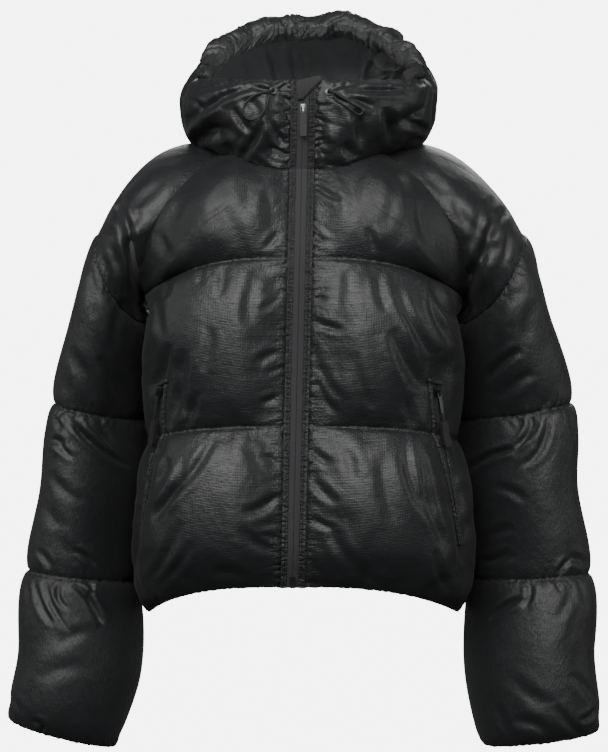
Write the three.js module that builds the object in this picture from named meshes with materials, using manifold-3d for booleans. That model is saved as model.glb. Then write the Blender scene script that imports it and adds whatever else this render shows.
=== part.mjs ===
// Cropped hooded puffer jacket with raglan sleeves, a full-length front zip and two zipped side pockets,
// filled out as it is worn. Millimetres, +Z up, the front faces -Y. The origin is the middle of the neck,
// level with the shoulder side of the neck seam, where a wearer's shoulders carry the jacket.
// Every padded panel is a wall: a plain inside, and an outside that is raised between the quilting seams.
import * as THREE from "three";
import Module from "manifold-3d";
import { mergeVertices } from "three/addons/utils/BufferGeometryUtils.js";

// Driving sizes
const WALL = 2.5; // shell, lining and flattened filling at a seam
const SEAM_GAP = 0.3; // between two panels that are sewn together
const LIFT = 1; // between a panel and what is laid on it
const SEAM_TURN = 18; // reach over which a wall leans towards the line that two panels share
const NECK = { halfWidth: 108, front: 98, back: 78, sideZ: 3, frontDrop: 30, backRise: 7 };
const NECK_ANGLE = { frontRaglan: 61.6, backRaglan: 129 }; // degrees round the neck, 0 in front
const COLLAR_TOP_Z = 74;
const HEM_Z = -510; // at the zip
const ZIP = {
  topX: 1, // the zip leans: its place at the collar's top and at the hem
  bottomX: -12,
  tape: 6.5,
  tapeLow: 0.8, // height of the tape's back over the lining
  tapeThick: 1.2,
  placket: 6.5,
  placketThick: 2.8,
  edge: 1.2, // from a placket strip to the front panel's own line
};
const CLOSURE_HALF = ZIP.tape + ZIP.placket + ZIP.edge; // from the zip's middle to the front panel's edge

// Mesh density: rows in each padded channel, and columns across a panel
const ROWS = { hem: 6, middle: 6, yoke: 8, sleeve: 5, hood: 9 };
const COLUMNS = { front: 11, back: 10 };

// Torso levels: 0 hem, 1 lower seam, 2 upper seam and armpit, 3 neck
const TORSO = [
  { level: 0.0, frontZ: HEM_Z, frontY: -120, backZ: -516, backY: 112 },
  { level: 0.35, frontZ: -458, frontY: -136, backZ: -462, backY: 124 },
  { level: 1.0, frontZ: -325, frontY: -133, backZ: -332, backY: 122 },
  { level: 1.5, frontZ: -230, frontY: -131, backZ: -240, backY: 121 },
  { level: 2.0, frontZ: -132, frontY: -128, backZ: -146, backY: 118 },
  { level: 2.5, frontZ: -76, frontY: -114, backZ: -62, backY: 106 },
  { level: 3.0, frontZ: -27, frontY: -98, backZ: 10, backY: 78 },
];
// Side seam from the hem to the armpit
const SIDE_SEAM = [
  { level: 0.0, x: 181, y: -6, z: -545 },
  { level: 0.3, x: 190, y: -8, z: -495 },
  { level: 1.0, x: 178, y: -8, z: -342 },
  { level: 1.5, x: 174, y: -8, z: -255 },
  { level: 1.85, x: 176, y: -5, z: -200 },
  { level: 2.0, x: 187, y: 0, z: -174 },
];
// Raglan seams from the armpit to the neck. turn is the angle at which the panel meets the seam
const RAGLAN_FRONT = [
  { level: 2.0, x: 187, y: 0, z: -174, turn: 90 },
  { level: 2.2, x: 191, y: -46, z: -158, turn: 66 },
  { level: 2.4, x: 186, y: -78, z: -124, turn: 38 },
  { level: 2.62, x: 165, y: -90, z: -80, turn: 28 },
  { level: 2.82, x: 132, y: -75, z: -38, turn: 38 },
  { level: 3.0, x: 95, y: -46.6, z: -6.9, turn: 57 },
];
const RAGLAN_BACK = [
  { level: 2.0, x: 187, y: 0, z: -174, turn: 90 },
  { level: 2.2, x: 190, y: 44, z: -158, turn: 62 },
  { level: 2.4, x: 182, y: 76, z: -122, turn: 28 },
  { level: 2.62, x: 158, y: 90, z: -74, turn: 18 },
  { level: 2.82, x: 124, y: 80, z: -30, turn: 22 },
  { level: 3.0, x: 84, y: 49, z: 7.4, turn: 36 },
];
// Sleeve rings: 0 armhole, 1 to 3 the quilting seams, 4 cuff. outer and inner are the ring's two ends as
// seen from the front, depth is half its depth, middleY its middle, twist how far it turns round the body
const SLEEVE = {
  draw: 0.85, // its wall stays this far inside the armhole seam, where three panels meet in a hollow
  firstSection: 0.36, // the section that the cloth heads for where it leaves the armhole
  right: [
    { ring: 0.0, outerX: 108, outerZ: 3, innerX: 187, innerZ: -174, middleY: 0, depth: 90, twist: 0 },
    { ring: 0.35, outerX: 160, outerZ: -5, innerX: 203, innerZ: -180, middleY: 4, depth: 92, twist: 0 },
    { ring: 0.7, outerX: 216, outerZ: -34, innerX: 206, innerZ: -188, middleY: 10, depth: 92, twist: 4 },
    { ring: 1.0, outerX: 255, outerZ: -97, innerX: 205, innerZ: -202, middleY: 15, depth: 90, twist: 9 },
    { ring: 1.5, outerX: 275, outerZ: -195, innerX: 205, innerZ: -248, middleY: 22, depth: 88, twist: 15 },
    { ring: 2.0, outerX: 314, outerZ: -297, innerX: 205, innerZ: -318, middleY: 25, depth: 84, twist: 18 },
    { ring: 2.5, outerX: 309, outerZ: -396, innerX: 207, innerZ: -410, middleY: 22, depth: 80, twist: 18 },
    { ring: 3.0, outerX: 338, outerZ: -499, innerX: 208, innerZ: -508, middleY: 14, depth: 76, twist: 16 },
    { ring: 3.5, outerX: 333, outerZ: -598, innerX: 207, innerZ: -610, middleY: 4, depth: 72, twist: 12 },
    { ring: 3.85, outerX: 342, outerZ: -664, innerX: 214, innerZ: -680, middleY: -4, depth: 66, twist: 8 },
    { ring: 4.0, outerX: 346, outerZ: -686, innerX: 219, innerZ: -704, middleY: -6, depth: 52, twist: 8 },
  ],
  left: [
    { ring: 0.0, outerX: 108, outerZ: 3, innerX: 187, innerZ: -174, middleY: 0, depth: 90, twist: 0 },
    { ring: 0.35, outerX: 157, outerZ: -5, innerX: 203, innerZ: -180, middleY: 4, depth: 92, twist: 0 },
    { ring: 0.7, outerX: 208, outerZ: -35, innerX: 206, innerZ: -188, middleY: 10, depth: 92, twist: 4 },
    { ring: 1.0, outerX: 238, outerZ: -97, innerX: 205, innerZ: -202, middleY: 15, depth: 90, twist: 9 },
    { ring: 1.5, outerX: 257, outerZ: -195, innerX: 205, innerZ: -248, middleY: 22, depth: 88, twist: 15 },
    { ring: 2.0, outerX: 291, outerZ: -297, innerX: 206, innerZ: -318, middleY: 25, depth: 84, twist: 18 },
    { ring: 2.5, outerX: 296, outerZ: -396, innerX: 207, innerZ: -410, middleY: 22, depth: 80, twist: 18 },
    { ring: 3.0, outerX: 327, outerZ: -495, innerX: 207, innerZ: -510, middleY: 14, depth: 76, twist: 16 },
    { ring: 3.5, outerX: 327, outerZ: -594, innerX: 207, innerZ: -612, middleY: 4, depth: 72, twist: 12 },
    { ring: 3.85, outerX: 338, outerZ: -648, innerX: 222, innerZ: -682, middleY: -4, depth: 66, twist: 8 },
    { ring: 4.0, outerX: 345, outerZ: -672, innerX: 225, innerZ: -705, middleY: -6, depth: 52, twist: 8 },
  ],
};
// Hood: how far the wall swings out between the neck seam and its upper edge, and how steeply it starts
const HOOD_EDGE = { shiftX: 11, halfWidth: 130, frontY: -110, backY: 44, sideZ: 82, topZ: 144 };
const HOOD_SWING = [
  { angle: 0, low: 10, high: 8, rise: 0.36 },
  { angle: 45, low: 26, high: 18, rise: 0.37 },
  { angle: 90, low: 45, high: 12, rise: 0.27 },
  { angle: 135, low: 60, high: 50, rise: 0.3 },
  { angle: 180, low: 84, high: 104, rise: 0.36 },
];
// Gathered tunnel round the hood's opening, a soft roll that starts and ends where the collar's edge does
const BRIM = {
  fromAngle: 68, // round the hood, where the brim starts
  half: 18.5,
  thickHalf: 15,
  endShare: 0.45, // of its full thickness, at its ends
  gathers: 30,
  gatherDepth: 1.5,
  sides: 8,
};

// Pockets: a straight zip on each front panel, placed across the panel and up its levels
const POCKET = {
  left: { topAcross: 0.57, bottomAcross: 0.74 },
  right: { topAcross: 0.54, bottomAcross: 0.68 },
  topLevel: 1.32,
  bottomLevel: 0.42,
  tip: 0.3, // share of the strips' width that is left at the lower end
  rows: 18,
  dip: 0.8, // share of the padding that the pocket's seams hold down
  dipWidth: 0.07,
};
const POCKET_STRIPS = [
  { name: "pocket_welt_front", side: -1, from: 4.3, to: 10, thick: 2.4 },
  { name: "pocket_zip", side: 0, from: -4.3, to: 4.3, thick: 1.1 },
  { name: "pocket_welt_side", side: 1, from: 4.3, to: 10, thick: 2.4 },
];
// Sliders and pulls, each in its own small frame: x across the zip, -y outward, z up along the zip
const SLIDER = { width: 7.4, height: 10, thick: 3.2, bridge: 2.6, bar: 1.3, rib: 2, corner: 1.6, postZ: 2.6 };
const PULL_BAR = { radius: 0.75, armX: 2.1, arm: 1.2, over: 1.2 }; // over: the arms' reach past the slider
const MAIN_PULL = { z: 42, length: 32, width: 8, thick: 2.2, tilt: 3 };
const POCKET_PULL = {
  level: 1.27,
  slope: 0.03,
  restLevel: 0.9, // where the pull's lower end rests
  lift: 1.1, // of the slider over the zip
  stand: 6.5, // of the pull's lower end over the panel
  tab: 25,
  tabWidth: 4.6,
  thick: 1.6,
  neck: { length: 9, width: 3, thick: 2.4 },
  grip: { length: 31, width: 10, thick: 4.2 },
};
const ZIP_BOX = { z: -503, width: 7, tall: 13, thick: 2.6, corner: 1.2 };
// Folded end of the zip's tape: its outline round its place on the zip, and its height over the lining
const ZIP_END = {
  z: 64,
  lift: 3.3,
  thick: 2.4,
  left: -8,
  topLeft: 9,
  bottomX: -7,
  bottom: -13,
  foldWidth: 6,
  right: 20,
  topRight: 15,
};
const EYELET = {
  lift: 1.4,
  outer: 4.4,
  inner: 1.9,
  thick: 1.5,
  sides: 14,
  places: { left: { angle: 9.5, rise: 0.8 }, right: { angle: 7, rise: 0.79 } },
};

// Height of the padding over the wall in the middle of each channel
const PUFF = {
  front: [24, 23, 14],
  back: [22, 21, 12],
  sleeve: [9, 13, 13, 13],
  hood: 8,
};

// Drawcord: on each side a loop comes out of the eyelet, lies on the collar and goes back in beside it
const CORD = {
  diameter: 2.2,
  arcSteps: 4, // steps of its round section in each half turn
  left: [
    { x: -34.6, y: -121.6, z: 61.7 },
    { x: -35.2, y: -124.6, z: 61.9 },
    { x: -38.5, y: -125.4, z: 61.5 },
    { x: -44, y: -125, z: 60 },
    { x: -51, y: -124.3, z: 58 },
    { x: -58, y: -123.5, z: 54.5 },
    { x: -64.5, y: -122.8, z: 49 },
    { x: -68.5, y: -122.1, z: 41.5 },
    { x: -67.5, y: -121.8, z: 33.5 },
    { x: -62, y: -122.5, z: 28.5 },
    { x: -54.5, y: -124, z: 29 },
    { x: -47.5, y: -125.1, z: 34 },
    { x: -43, y: -125.4, z: 41 },
    { x: -40.6, y: -125.3, z: 48 },
    { x: -39.4, y: -124.7, z: 53 },
    { x: -38.9, y: -123.7, z: 56.4 },
  ],
  right: [
    { x: 30.7, y: -120.6, z: 60.4 },
    { x: 31.2, y: -123.6, z: 60.8 },
    { x: 34.2, y: -124.5, z: 60.2 },
    { x: 39, y: -125, z: 57.6 },
    { x: 45, y: -125.4, z: 53.8 },
    { x: 51, y: -125.5, z: 50.2 },
    { x: 57, y: -125.2, z: 46.4 },
    { x: 62.5, y: -124.3, z: 43.4 },
    { x: 67.5, y: -123, z: 40.2 },
    { x: 68.3, y: -122.5, z: 36 },
    { x: 64.5, y: -123, z: 33.8 },
    { x: 59, y: -124.3, z: 36.6 },
    { x: 53, y: -125.4, z: 41 },
    { x: 47, y: -125.7, z: 45.2 },
    { x: 41, y: -125.3, z: 49.2 },
    { x: 37.4, y: -124.5, z: 52.4 },
    { x: 35.8, y: -123.2, z: 54.8 },
  ],
};

const side = { left: -1, right: 1 }; // as seen in front view
const rad = THREE.MathUtils.degToRad;
const clamp = THREE.MathUtils.clamp;
const smooth = (x, low, high) => THREE.MathUtils.smoothstep(x, low, high);
const point = (x, y, z) => new THREE.Vector3(x, y, z);

// One column of a table at any place between its rows, through cubic curves
function column(table, key, by, at) {
  const last = table.length - 1;
  const row = clamp(table.findIndex((r) => r[by] > at) - 1, -1, last - 1);
  const i = at >= table[last][by] ? last - 1 : Math.max(row, 0);
  const slope = (k) => {
    const a = Math.max(k - 1, 0);
    const b = Math.min(k + 1, last);
    return (table[b][key] - table[a][key]) / (table[b][by] - table[a][by]);
  };
  const span = table[i + 1][by] - table[i][by];
  const s = clamp((at - table[i][by]) / span, 0, 1);
  const [p, q] = [table[i][key], table[i + 1][key]];
  const [m, n] = [slope(i) * span, slope(i + 1) * span];
  return p + s * (m + s * (3 * (q - p) - 2 * m - n + s * (2 * (p - q) + m + n)));
}
const along = (table, by, at, keys) => keys.map((key) => column(table, key, by, at));

// Neck seam: the ring that the two fronts, both sleeves, the back and the hood share
function neck(degrees) {
  const c = Math.cos(rad(degrees));
  const z = c > 0 ? NECK.sideZ - NECK.frontDrop * c ** 1.5 : NECK.sideZ - NECK.backRise * c;
  return point(NECK.halfWidth * Math.sin(rad(degrees)), -(c > 0 ? NECK.front : NECK.back) * c, z);
}
const zipX = (z) => ZIP.topX + ((z - COLLAR_TOP_Z) * (ZIP.topX - ZIP.bottomX)) / (COLLAR_TOP_Z - HEM_Z);

// Side edge of a front or back panel: the side seam up to the armpit, then a raglan seam up to the neck
function panelEdge(raglan, level) {
  const table = level <= 2 ? SIDE_SEAM : raglan;
  const [x, y, z] = along(table, "level", level, ["x", "y", "z"]);
  return { at: point(x, y, z), turn: level <= 2 ? 90 : column(raglan, "turn", "level", level) };
}

// A point inside a front or back panel: across goes from its middle edge (0) to its side edge (1)
function torsoPoint(face, across, level) {
  const front = face === "front";
  const [middleZ, middleY] = along(TORSO, "level", level, [face + "Z", face + "Y"]);
  const edge = panelEdge(front ? RAGLAN_FRONT : RAGLAN_BACK, level);
  const startX = front ? CLOSURE_HALF : 0;
  const reach = edge.at.x - startX;
  const drop = Math.abs(edge.at.y - middleY);
  const c = Math.cos(rad(edge.turn));
  const s = Math.sin(rad(edge.turn));
  const middlePull = THREE.MathUtils.lerp(0.8, 0.6, smooth(level, 1.6, 2.6));
  const sidePull = THREE.MathUtils.lerp(0.8, 0.55, smooth(level, 1.6, 2.3));
  const handle = sidePull * (c * reach + s * drop);
  const inward = point(-c, (front ? -1 : 1) * s, 0);
  const curve = new THREE.CubicBezierCurve3(
    point(startX, middleY, 0),
    point(startX + middlePull * reach, middleY, 0),
    point(edge.at.x, edge.at.y, 0).addScaledVector(inward, handle),
    point(edge.at.x, edge.at.y, 0),
  );
  const p = curve.getPoint(across);
  p.z = THREE.MathUtils.lerp(middleZ, edge.at.z, smooth(across, 0.05, 1));
  return p;
}

// The armhole: up the front raglan seam, round the side of the neck and down the back raglan seam
function armhole(degrees) {
  const turn = ((degrees % 360) + 360) % 360;
  if (turn < 30 || turn > 330) {
    const share = (turn < 30 ? turn : turn - 360) / 30; // 1 at the front seam, -1 at the back seam
    const middle = (NECK_ANGLE.frontRaglan + NECK_ANGLE.backRaglan) / 2;
    return neck(middle - share * (NECK_ANGLE.backRaglan - NECK_ANGLE.frontRaglan) / 2);
  }
  const front = turn <= 180;
  const level = 3 - (front ? turn - 30 : 330 - turn) / 150;
  return panelEdge(front ? RAGLAN_FRONT : RAGLAN_BACK, level).at;
}

// A point of a sleeve: degrees run round it from its outer side over the front, ring down its length
function sleevePoint(name, degrees, ring) {
  const keys = ["outerX", "outerZ", "innerX", "innerZ", "middleY", "depth", "twist"];
  const section = ring >= 1 ? ring : THREE.MathUtils.lerp(SLEEVE.firstSection, 1, ring);
  const values = along(SLEEVE[name], "ring", section, keys);
  const [outerX, outerZ, innerX, innerZ, middleY, depth, twist] = values;
  const c = Math.cos(rad(degrees));
  const s = Math.sin(rad(degrees));
  const round = point(
    (outerX + innerX) / 2 + ((outerX - innerX) / 2) * c + depth * s * Math.sin(rad(twist)),
    middleY - depth * s * Math.cos(rad(twist)),
    (outerZ + innerZ) / 2 + ((outerZ - innerZ) / 2) * c,
  );
  return ring >= 1 ? round : armhole(degrees).lerp(round, smooth(ring, 0, 1) * 0.4 + ring * 0.6);
}

// Upper edge of the hood: the top of the collar in front, and the seam of the gathered brim above and behind
function hoodEdge(degrees, mirror) {
  const s = Math.sin(rad(degrees));
  const c = Math.cos(rad(degrees));
  const { shiftX, halfWidth, frontY, backY, sideZ, topZ } = HOOD_EDGE;
  const middleY = (frontY + backY) / 2;
  const front = Math.max(c, 0);
  const z = c > 0 ? sideZ - (sideZ - COLLAR_TOP_Z) * c : sideZ + (topZ - sideZ) * Math.abs(c) ** 0.95;
  const atZip = (zipX(z) + mirror * CLOSURE_HALF) * front ** 8;
  const x = mirror * halfWidth * s + shiftX * (1 - front) + atZip;
  return point(x, middleY - ((backY - frontY) / 2) * c, z);
}

// A point of the hood: degrees run round the neck from the zip, rise goes from the neck seam (0) to the edge
function hoodPoint(base, degrees, mirror, rise) {
  const edge = hoodEdge(degrees, mirror);
  const [low, high, start] = along(HOOD_SWING, "angle", degrees, ["low", "high", "rise"]);
  const out = point(mirror * Math.sin(rad(degrees)), -Math.cos(rad(degrees)), 0);
  const tall = edge.z - base.z;
  const curve = new THREE.CubicBezierCurve3(
    base,
    base.clone().addScaledVector(out, low).add(point(0, 0, start * tall)),
    edge.clone().addScaledVector(out, high).add(point(0, 0, -0.18 * tall)),
    edge,
  );
  return curve.getPoint(rise);
}

// Share of the full padding across one channel, from seam (0) to seam (1): it hangs a little low
const channel = (share, sag = 0.85) => Math.sin(Math.PI * clamp(share, 0, 1) ** sag) ** 0.7;
const levelShare = (level) => level - Math.min(Math.floor(level), 2);

// Padding over a front or back panel. It falls off to the zip, the side seam, the armpit and the pocket
function torsoPuff(face, across, level) {
  const step = Math.min(Math.floor(level), 2);
  const up = channel(1 - levelShare(level), step === 2 ? 1 : 0.85);
  const toSide = 1 - 0.72 * smooth(across, 0.55, 0.98);
  const toZip = face === "front" ? 0.25 + 0.75 * smooth(across, 0, 0.16) : 1;
  const beside = smooth(level, 1.5, 1.95) * (1 - smooth(level, 2.45, 2.9));
  const armpit = 1 - beside * (1 - smooth(1 - across, 0.02, 0.45));
  const edge = level > 2 ? smooth(1 - across, 0, face === "front" ? 0.25 : 0.45) : 1;
  return PUFF[face][step] * up * toSide * toZip * armpit * edge;
}
function sleevePuff(degrees, ring) {
  const step = Math.min(Math.floor(ring), 3);
  const inside = (1 - Math.cos(rad(degrees))) / 2; // 1 on the side that faces the body
  const shy = 1 - 0.85 * inside ** 2 * (ring < 3 ? 1 : 1 - (ring - 3));
  const seam = ring < 1 ? smooth(ring, 0, 0.25 + 0.7 * inside) : 1;
  const underHood = 1 - 0.75 * (1 - inside) ** 2 * (1 - smooth(ring, 0.2, 0.6));
  return PUFF.sleeve[step] * channel(ring - step) * shy * seam * underHood;
}
const hoodPuff = (across, rise) => PUFF.hood * Math.sin(Math.PI * rise ** 1.3) * smooth(across, 0, 0.08);

function pocketAcross(name, level) {
  const share = (level - POCKET.topLevel) / (POCKET.bottomLevel - POCKET.topLevel);
  return THREE.MathUtils.lerp(POCKET[name].topAcross, POCKET[name].bottomAcross, share);
}
function pocketDip(name, across, level) {
  const off = Math.abs(across - pocketAcross(name, level)) / POCKET.dipWidth;
  const above = smooth(level, POCKET.bottomLevel - 0.25, POCKET.bottomLevel);
  const below = 1 - smooth(level, POCKET.topLevel, POCKET.topLevel + 0.25);
  return 1 - POCKET.dip * Math.exp(-(off ** 2) / 2) * above * below;
}

// Closed solid from vertices and triangles, with its faces turned outward
function solid(vertices, triangles) {
  const volume = triangles.reduce((sum, [a, b, c]) => {
    const cross = vertices[b].clone().cross(vertices[c]);
    return sum + vertices[a].dot(cross);
  }, 0);
  const faces = volume < 0 ? triangles.map(([a, b, c]) => [a, c, b]) : triangles;
  const geometry = new THREE.BufferGeometry();
  const numbers = vertices.flatMap((v) => v.toArray());
  geometry.setAttribute("position", new THREE.Float32BufferAttribute(numbers, 3));
  geometry.setIndex(faces.flat());
  geometry.computeVertexNormals();
  return geometry;
}

// Wall between two grids of points, grid[row][column]. A closed grid meets itself round its columns
function wall(inner, outer, closed) {
  const rows = inner.length;
  const columns = inner[0].length;
  const vertices = [...inner.flat(), ...outer.flat()];
  const id = (layer, r, c) => layer * rows * columns + r * columns + (c % columns);
  const triangles = [];
  const quad = (a, b, c, d) => triangles.push([a, b, c], [a, c, d]);
  const spans = closed ? columns : columns - 1;
  for (let r = 0; r < rows - 1; r++) {
    for (let c = 0; c < spans; c++) {
      quad(id(1, r, c), id(1, r, c + 1), id(1, r + 1, c + 1), id(1, r + 1, c));
      quad(id(0, r + 1, c), id(0, r + 1, c + 1), id(0, r, c + 1), id(0, r, c));
    }
    if (!closed) {
      const e = columns - 1;
      quad(id(0, r, 0), id(1, r, 0), id(1, r + 1, 0), id(0, r + 1, 0));
      quad(id(0, r + 1, e), id(1, r + 1, e), id(1, r, e), id(0, r, e));
    }
  }
  for (let c = 0; c < spans; c++) {
    const e = rows - 1;
    quad(id(0, 0, c + 1), id(1, 0, c + 1), id(1, 0, c), id(0, 0, c));
    quad(id(0, e, c), id(1, e, c), id(1, e, c + 1), id(0, e, c + 1));
  }
  return solid(vertices, triangles);
}

// Outward normals of a grid. Points that two panels share get the mean of both panels' normals
const sharedNormals = new Map();
const key = (p) => p.toArray().map((x) => Math.round(x * 20 + 0.137)).join();
function gridNormals(grid, closed) {
  const rows = grid.length;
  const columns = grid[0].length;
  return grid.map((line, r) =>
    line.map((p, c) => {
      const next = closed ? (c + 1) % columns : Math.min(c + 1, columns - 1);
      const before = closed ? (c + columns - 1) % columns : Math.max(c - 1, 0);
      const up = grid[Math.min(r + 1, rows - 1)][c].clone().sub(grid[Math.max(r - 1, 0)][c]);
      const round = line[next].clone().sub(line[before]);
      return round.cross(up).normalize();
    }),
  );
}
function isRim(grid, r, c, closed) {
  const onRow = r === 0 || r === grid.length - 1;
  return onRow || (!closed && (c === 0 || c === grid[0].length - 1));
}
function shareNormals(panel) {
  panel.normals = gridNormals(panel.base, panel.closed).map((line) =>
    line.map((n) => n.multiplyScalar(panel.flip)),
  );
  panel.base.forEach((line, r) =>
    line.forEach((p, c) => {
      if (!isRim(panel.base, r, c, panel.closed)) return;
      const sum = sharedNormals.get(key(p)) ?? point(0, 0, 0);
      sharedNormals.set(key(p), sum.add(panel.normals[r][c]));
    }),
  );
}

// Draws a panel's rim in by half the seam gap, square to the rim, so that neighbours stay apart
function drawnIn(grid, closed, draw) {
  const rows = grid.length;
  const columns = grid[0].length;
  const place = (c) => (closed ? (c + columns) % columns : clamp(c, 0, columns - 1));
  const at = (r, c) => grid[clamp(r, 0, rows - 1)][place(c)];
  return grid.map((line, r) =>
    line.map((p, c) => {
      const moved = p.clone();
      const pull = (inward, rim) => {
        const away = inward.clone().sub(p);
        const tangent = rim.normalize();
        moved.addScaledVector(away.addScaledVector(tangent, -away.dot(tangent)).normalize(), draw);
      };
      if (r === 0 || r === rows - 1) pull(at(r ? rows - 2 : 1, c), at(r, c + 1).clone().sub(at(r, c - 1)));
      if (!closed && (c === 0 || c === columns - 1)) {
        pull(at(r, c ? columns - 2 : 1), at(r + 1, c).clone().sub(at(r - 1, c)));
      }
      return moved;
    }),
  );
}
// Outward direction at a point: the shared one on a seam, and turning towards it close to the seam
function turnedNormal(panel, r, c) {
  const { base, normals, closed } = panel;
  const onRim = isRim(base, r, c, closed) && sharedNormals.get(key(base[r][c]));
  if (onRim) return onRim.clone().normalize();
  const rims = [
    [0, c],
    [base.length - 1, c],
    ...(closed ? [] : [[r, 0], [r, base[0].length - 1]]),
  ];
  return rims.reduce((sum, [i, j]) => {
    const near = Math.exp(-((base[r][c].distanceTo(base[i][j]) / SEAM_TURN) ** 2));
    return sum.addScaledVector(sharedNormals.get(key(base[i][j])).clone().normalize(), 2.2 * near);
  }, normals[r][c].clone()).normalize();
}
function finishPanel(panel) {
  panel.inner = drawnIn(panel.base, panel.closed, panel.draw ?? SEAM_GAP / 2);
  panel.out = panel.base.map((line, r) => line.map((p, c) => turnedNormal(panel, r, c)));
  panel.outer = panel.inner.map((line, r) =>
    line.map((p, c) => p.clone().addScaledVector(panel.out[r][c], WALL + panel.puff[r][c])),
  );
  return wall(panel.inner, panel.outer, panel.closed);
}

// Steps from one seam to the next: evenly spaced ones, and mixed ones that are closer beside the seams
const evenly = (count) => Array.from({ length: count + 1 }, (_, i) => i / count);
const mixed = (count) => evenly(count).map((s) => 0.6 * (0.5 - 0.5 * Math.cos(Math.PI * s)) + 0.4 * s);

const levels = [
  ...mixed(ROWS.hem),
  ...mixed(ROWS.middle).slice(1).map((s) => 1 + s),
  ...evenly(ROWS.yoke).slice(1).map((s) => 2 + s),
];
const rings = [0, 1, 2, 3].flatMap((k) => mixed(ROWS.sleeve).slice(k ? 1 : 0).map((s) => k + s));
const seamTurns = evenly(ROWS.yoke).map((s) => 30 + 150 * s); // down one raglan seam, neck to armpit
const sleeveTurns = [0, 15, ...seamTurns, ...seamTurns.slice(0, -1).reverse().map((t) => 360 - t), 345];

const panels = {};
for (const [name, mirror] of Object.entries(side)) {
  const acrossFront = mixed(COLUMNS.front);
  panels["front_" + name] = {
    base: levels.map((level) =>
      acrossFront.map((across) => {
        const p = torsoPoint("front", across, level);
        const lean = zipX(p.z) * (1 - smooth(across, 0, 0.9));
        return point(mirror * p.x + lean, p.y, p.z);
      }),
    ),
    puff: levels.map((level) =>
      acrossFront.map((across) => torsoPuff("front", across, level) * pocketDip(name, across, level)),
    ),
    acrossSteps: acrossFront,
    upSteps: levels,
    flip: mirror,
    closed: false,
  };
  panels["sleeve_" + name] = {
    base: rings.map((ring) =>
      sleeveTurns.map((turn) => {
        const p = sleevePoint(name, turn, ring);
        return point(mirror * p.x, p.y, p.z);
      }),
    ),
    puff: rings.map((ring) => sleeveTurns.map((turn) => sleevePuff(turn, ring))),
    draw: SLEEVE.draw,
    flip: mirror,
    closed: true,
  };
}
const acrossBack = evenly(COLUMNS.back); // from the middle of the back to its side
const backColumns = [...acrossBack.slice(1).reverse().map((a) => -a), ...acrossBack];
panels.back = {
  base: levels.map((level) =>
    backColumns.map((across) => {
      const p = torsoPoint("back", Math.abs(across), level);
      return point(Math.sign(across) * p.x, p.y, p.z);
    }),
  ),
  puff: levels.map((level) => backColumns.map((across) => torsoPuff("back", Math.abs(across), level))),
  flip: -1,
  closed: false,
};

// The hood stands on the points of the neck seam that the panels below it already have
for (const [name, mirror] of Object.entries(side)) {
  const front = panels["front_" + name].base.at(-1);
  const arc = [15, 0, 345, 330].map((turn) => armhole(turn));
  const arcPoints = arc.map((p) => point(mirror * p.x, p.y, p.z));
  const backLine = panels.back.base.at(-1);
  const half = backLine.slice(0, COLUMNS.back + 1);
  const backHalf = mirror < 0 ? half : backLine.slice(COLUMNS.back).reverse();
  const ring = [...front, ...arcPoints, ...backHalf.slice(1)];
  const angles = ring.map((p) => THREE.MathUtils.radToDeg(Math.atan2(Math.abs(p.x), -p.y)));
  const firstAngle = angles[0];
  const spread = angles.map((a) => ((a - firstAngle) / (180 - firstAngle)) * 180);
  panels["hood_" + name] = {
    base: evenly(ROWS.hood).map((rise) =>
      ring.map((p, i) => {
        const q = hoodPoint(p, spread[i], mirror, rise);
        if (i === 0) q.x = zipX(q.z) + mirror * CLOSURE_HALF;
        return q;
      }),
    ),
    puff: evenly(ROWS.hood).map((rise) => spread.map((a) => hoodPuff(a / 180, rise))),
    acrossSteps: spread.map((a) => a / 180),
    upSteps: evenly(ROWS.hood),
    spread,
    draw: 3 * SEAM_GAP,
    flip: mirror,
    closed: false,
  };
}

const material = (color, roughness, metalness = 0) =>
  new THREE.MeshStandardMaterial({ color, roughness, metalness });
const shell = () => material(0x17181a, 0.4);
const tapeCloth = () => material(0x101113, 0.75);
const darkMetal = () => material(0x55585c, 0.35, 1);
const rubber = () => material(0x121212, 0.6);
const root = new THREE.Group();
function add(name, geometry, look, parent = root) {
  const mesh = new THREE.Mesh(geometry, look);
  mesh.name = name;
  parent.add(mesh);
  return mesh;
}
Object.values(panels).forEach(shareNormals);
Object.entries(panels).forEach(([name, panel]) => add(name, finishPanel(panel), shell()));

// The line that the main zip follows, from the hem up to the collar's top edge, with its outward direction
const zipLine = [
  ...panels.front_left.base.map((line) => line[0]),
  ...panels.hood_left.base.slice(1).map((line) => line[0]),
].map((p) => point(0, p.y, p.z));
const zipOut = zipLine.map((p, i) => {
  const run = zipLine[Math.min(i + 1, zipLine.length - 1)].clone().sub(zipLine[Math.max(i - 1, 0)]);
  return point(0, -run.z, run.y).normalize();
});
const zipTop = ZIP.tapeLow + ZIP.tapeThick; // outer face of the zip's tape
// A strip beside the zip's middle line, between two distances from it and between two heights over the lining
function zipStrip(from, to, low, high) {
  const grid = (height) =>
    zipLine.map((p, i) =>
      [from, to].map((x) => p.clone().add(point(zipX(p.z) + x, 0, 0)).addScaledVector(zipOut[i], height)),
    );
  return wall(grid(low), grid(high), false);
}
for (const [name, mirror] of Object.entries(side)) {
  const tapeEdge = ZIP.tape + SEAM_GAP;
  const outerEdge = CLOSURE_HALF - 0.7 * SEAM_GAP;
  const tape = zipStrip(mirror * SEAM_GAP, mirror * ZIP.tape, ZIP.tapeLow, zipTop);
  add("zip_tape_" + name, tape, tapeCloth());
  add("zip_placket_" + name, zipStrip(mirror * tapeEdge, mirror * outerEdge, 0, ZIP.placketThick), shell());
}

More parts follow.
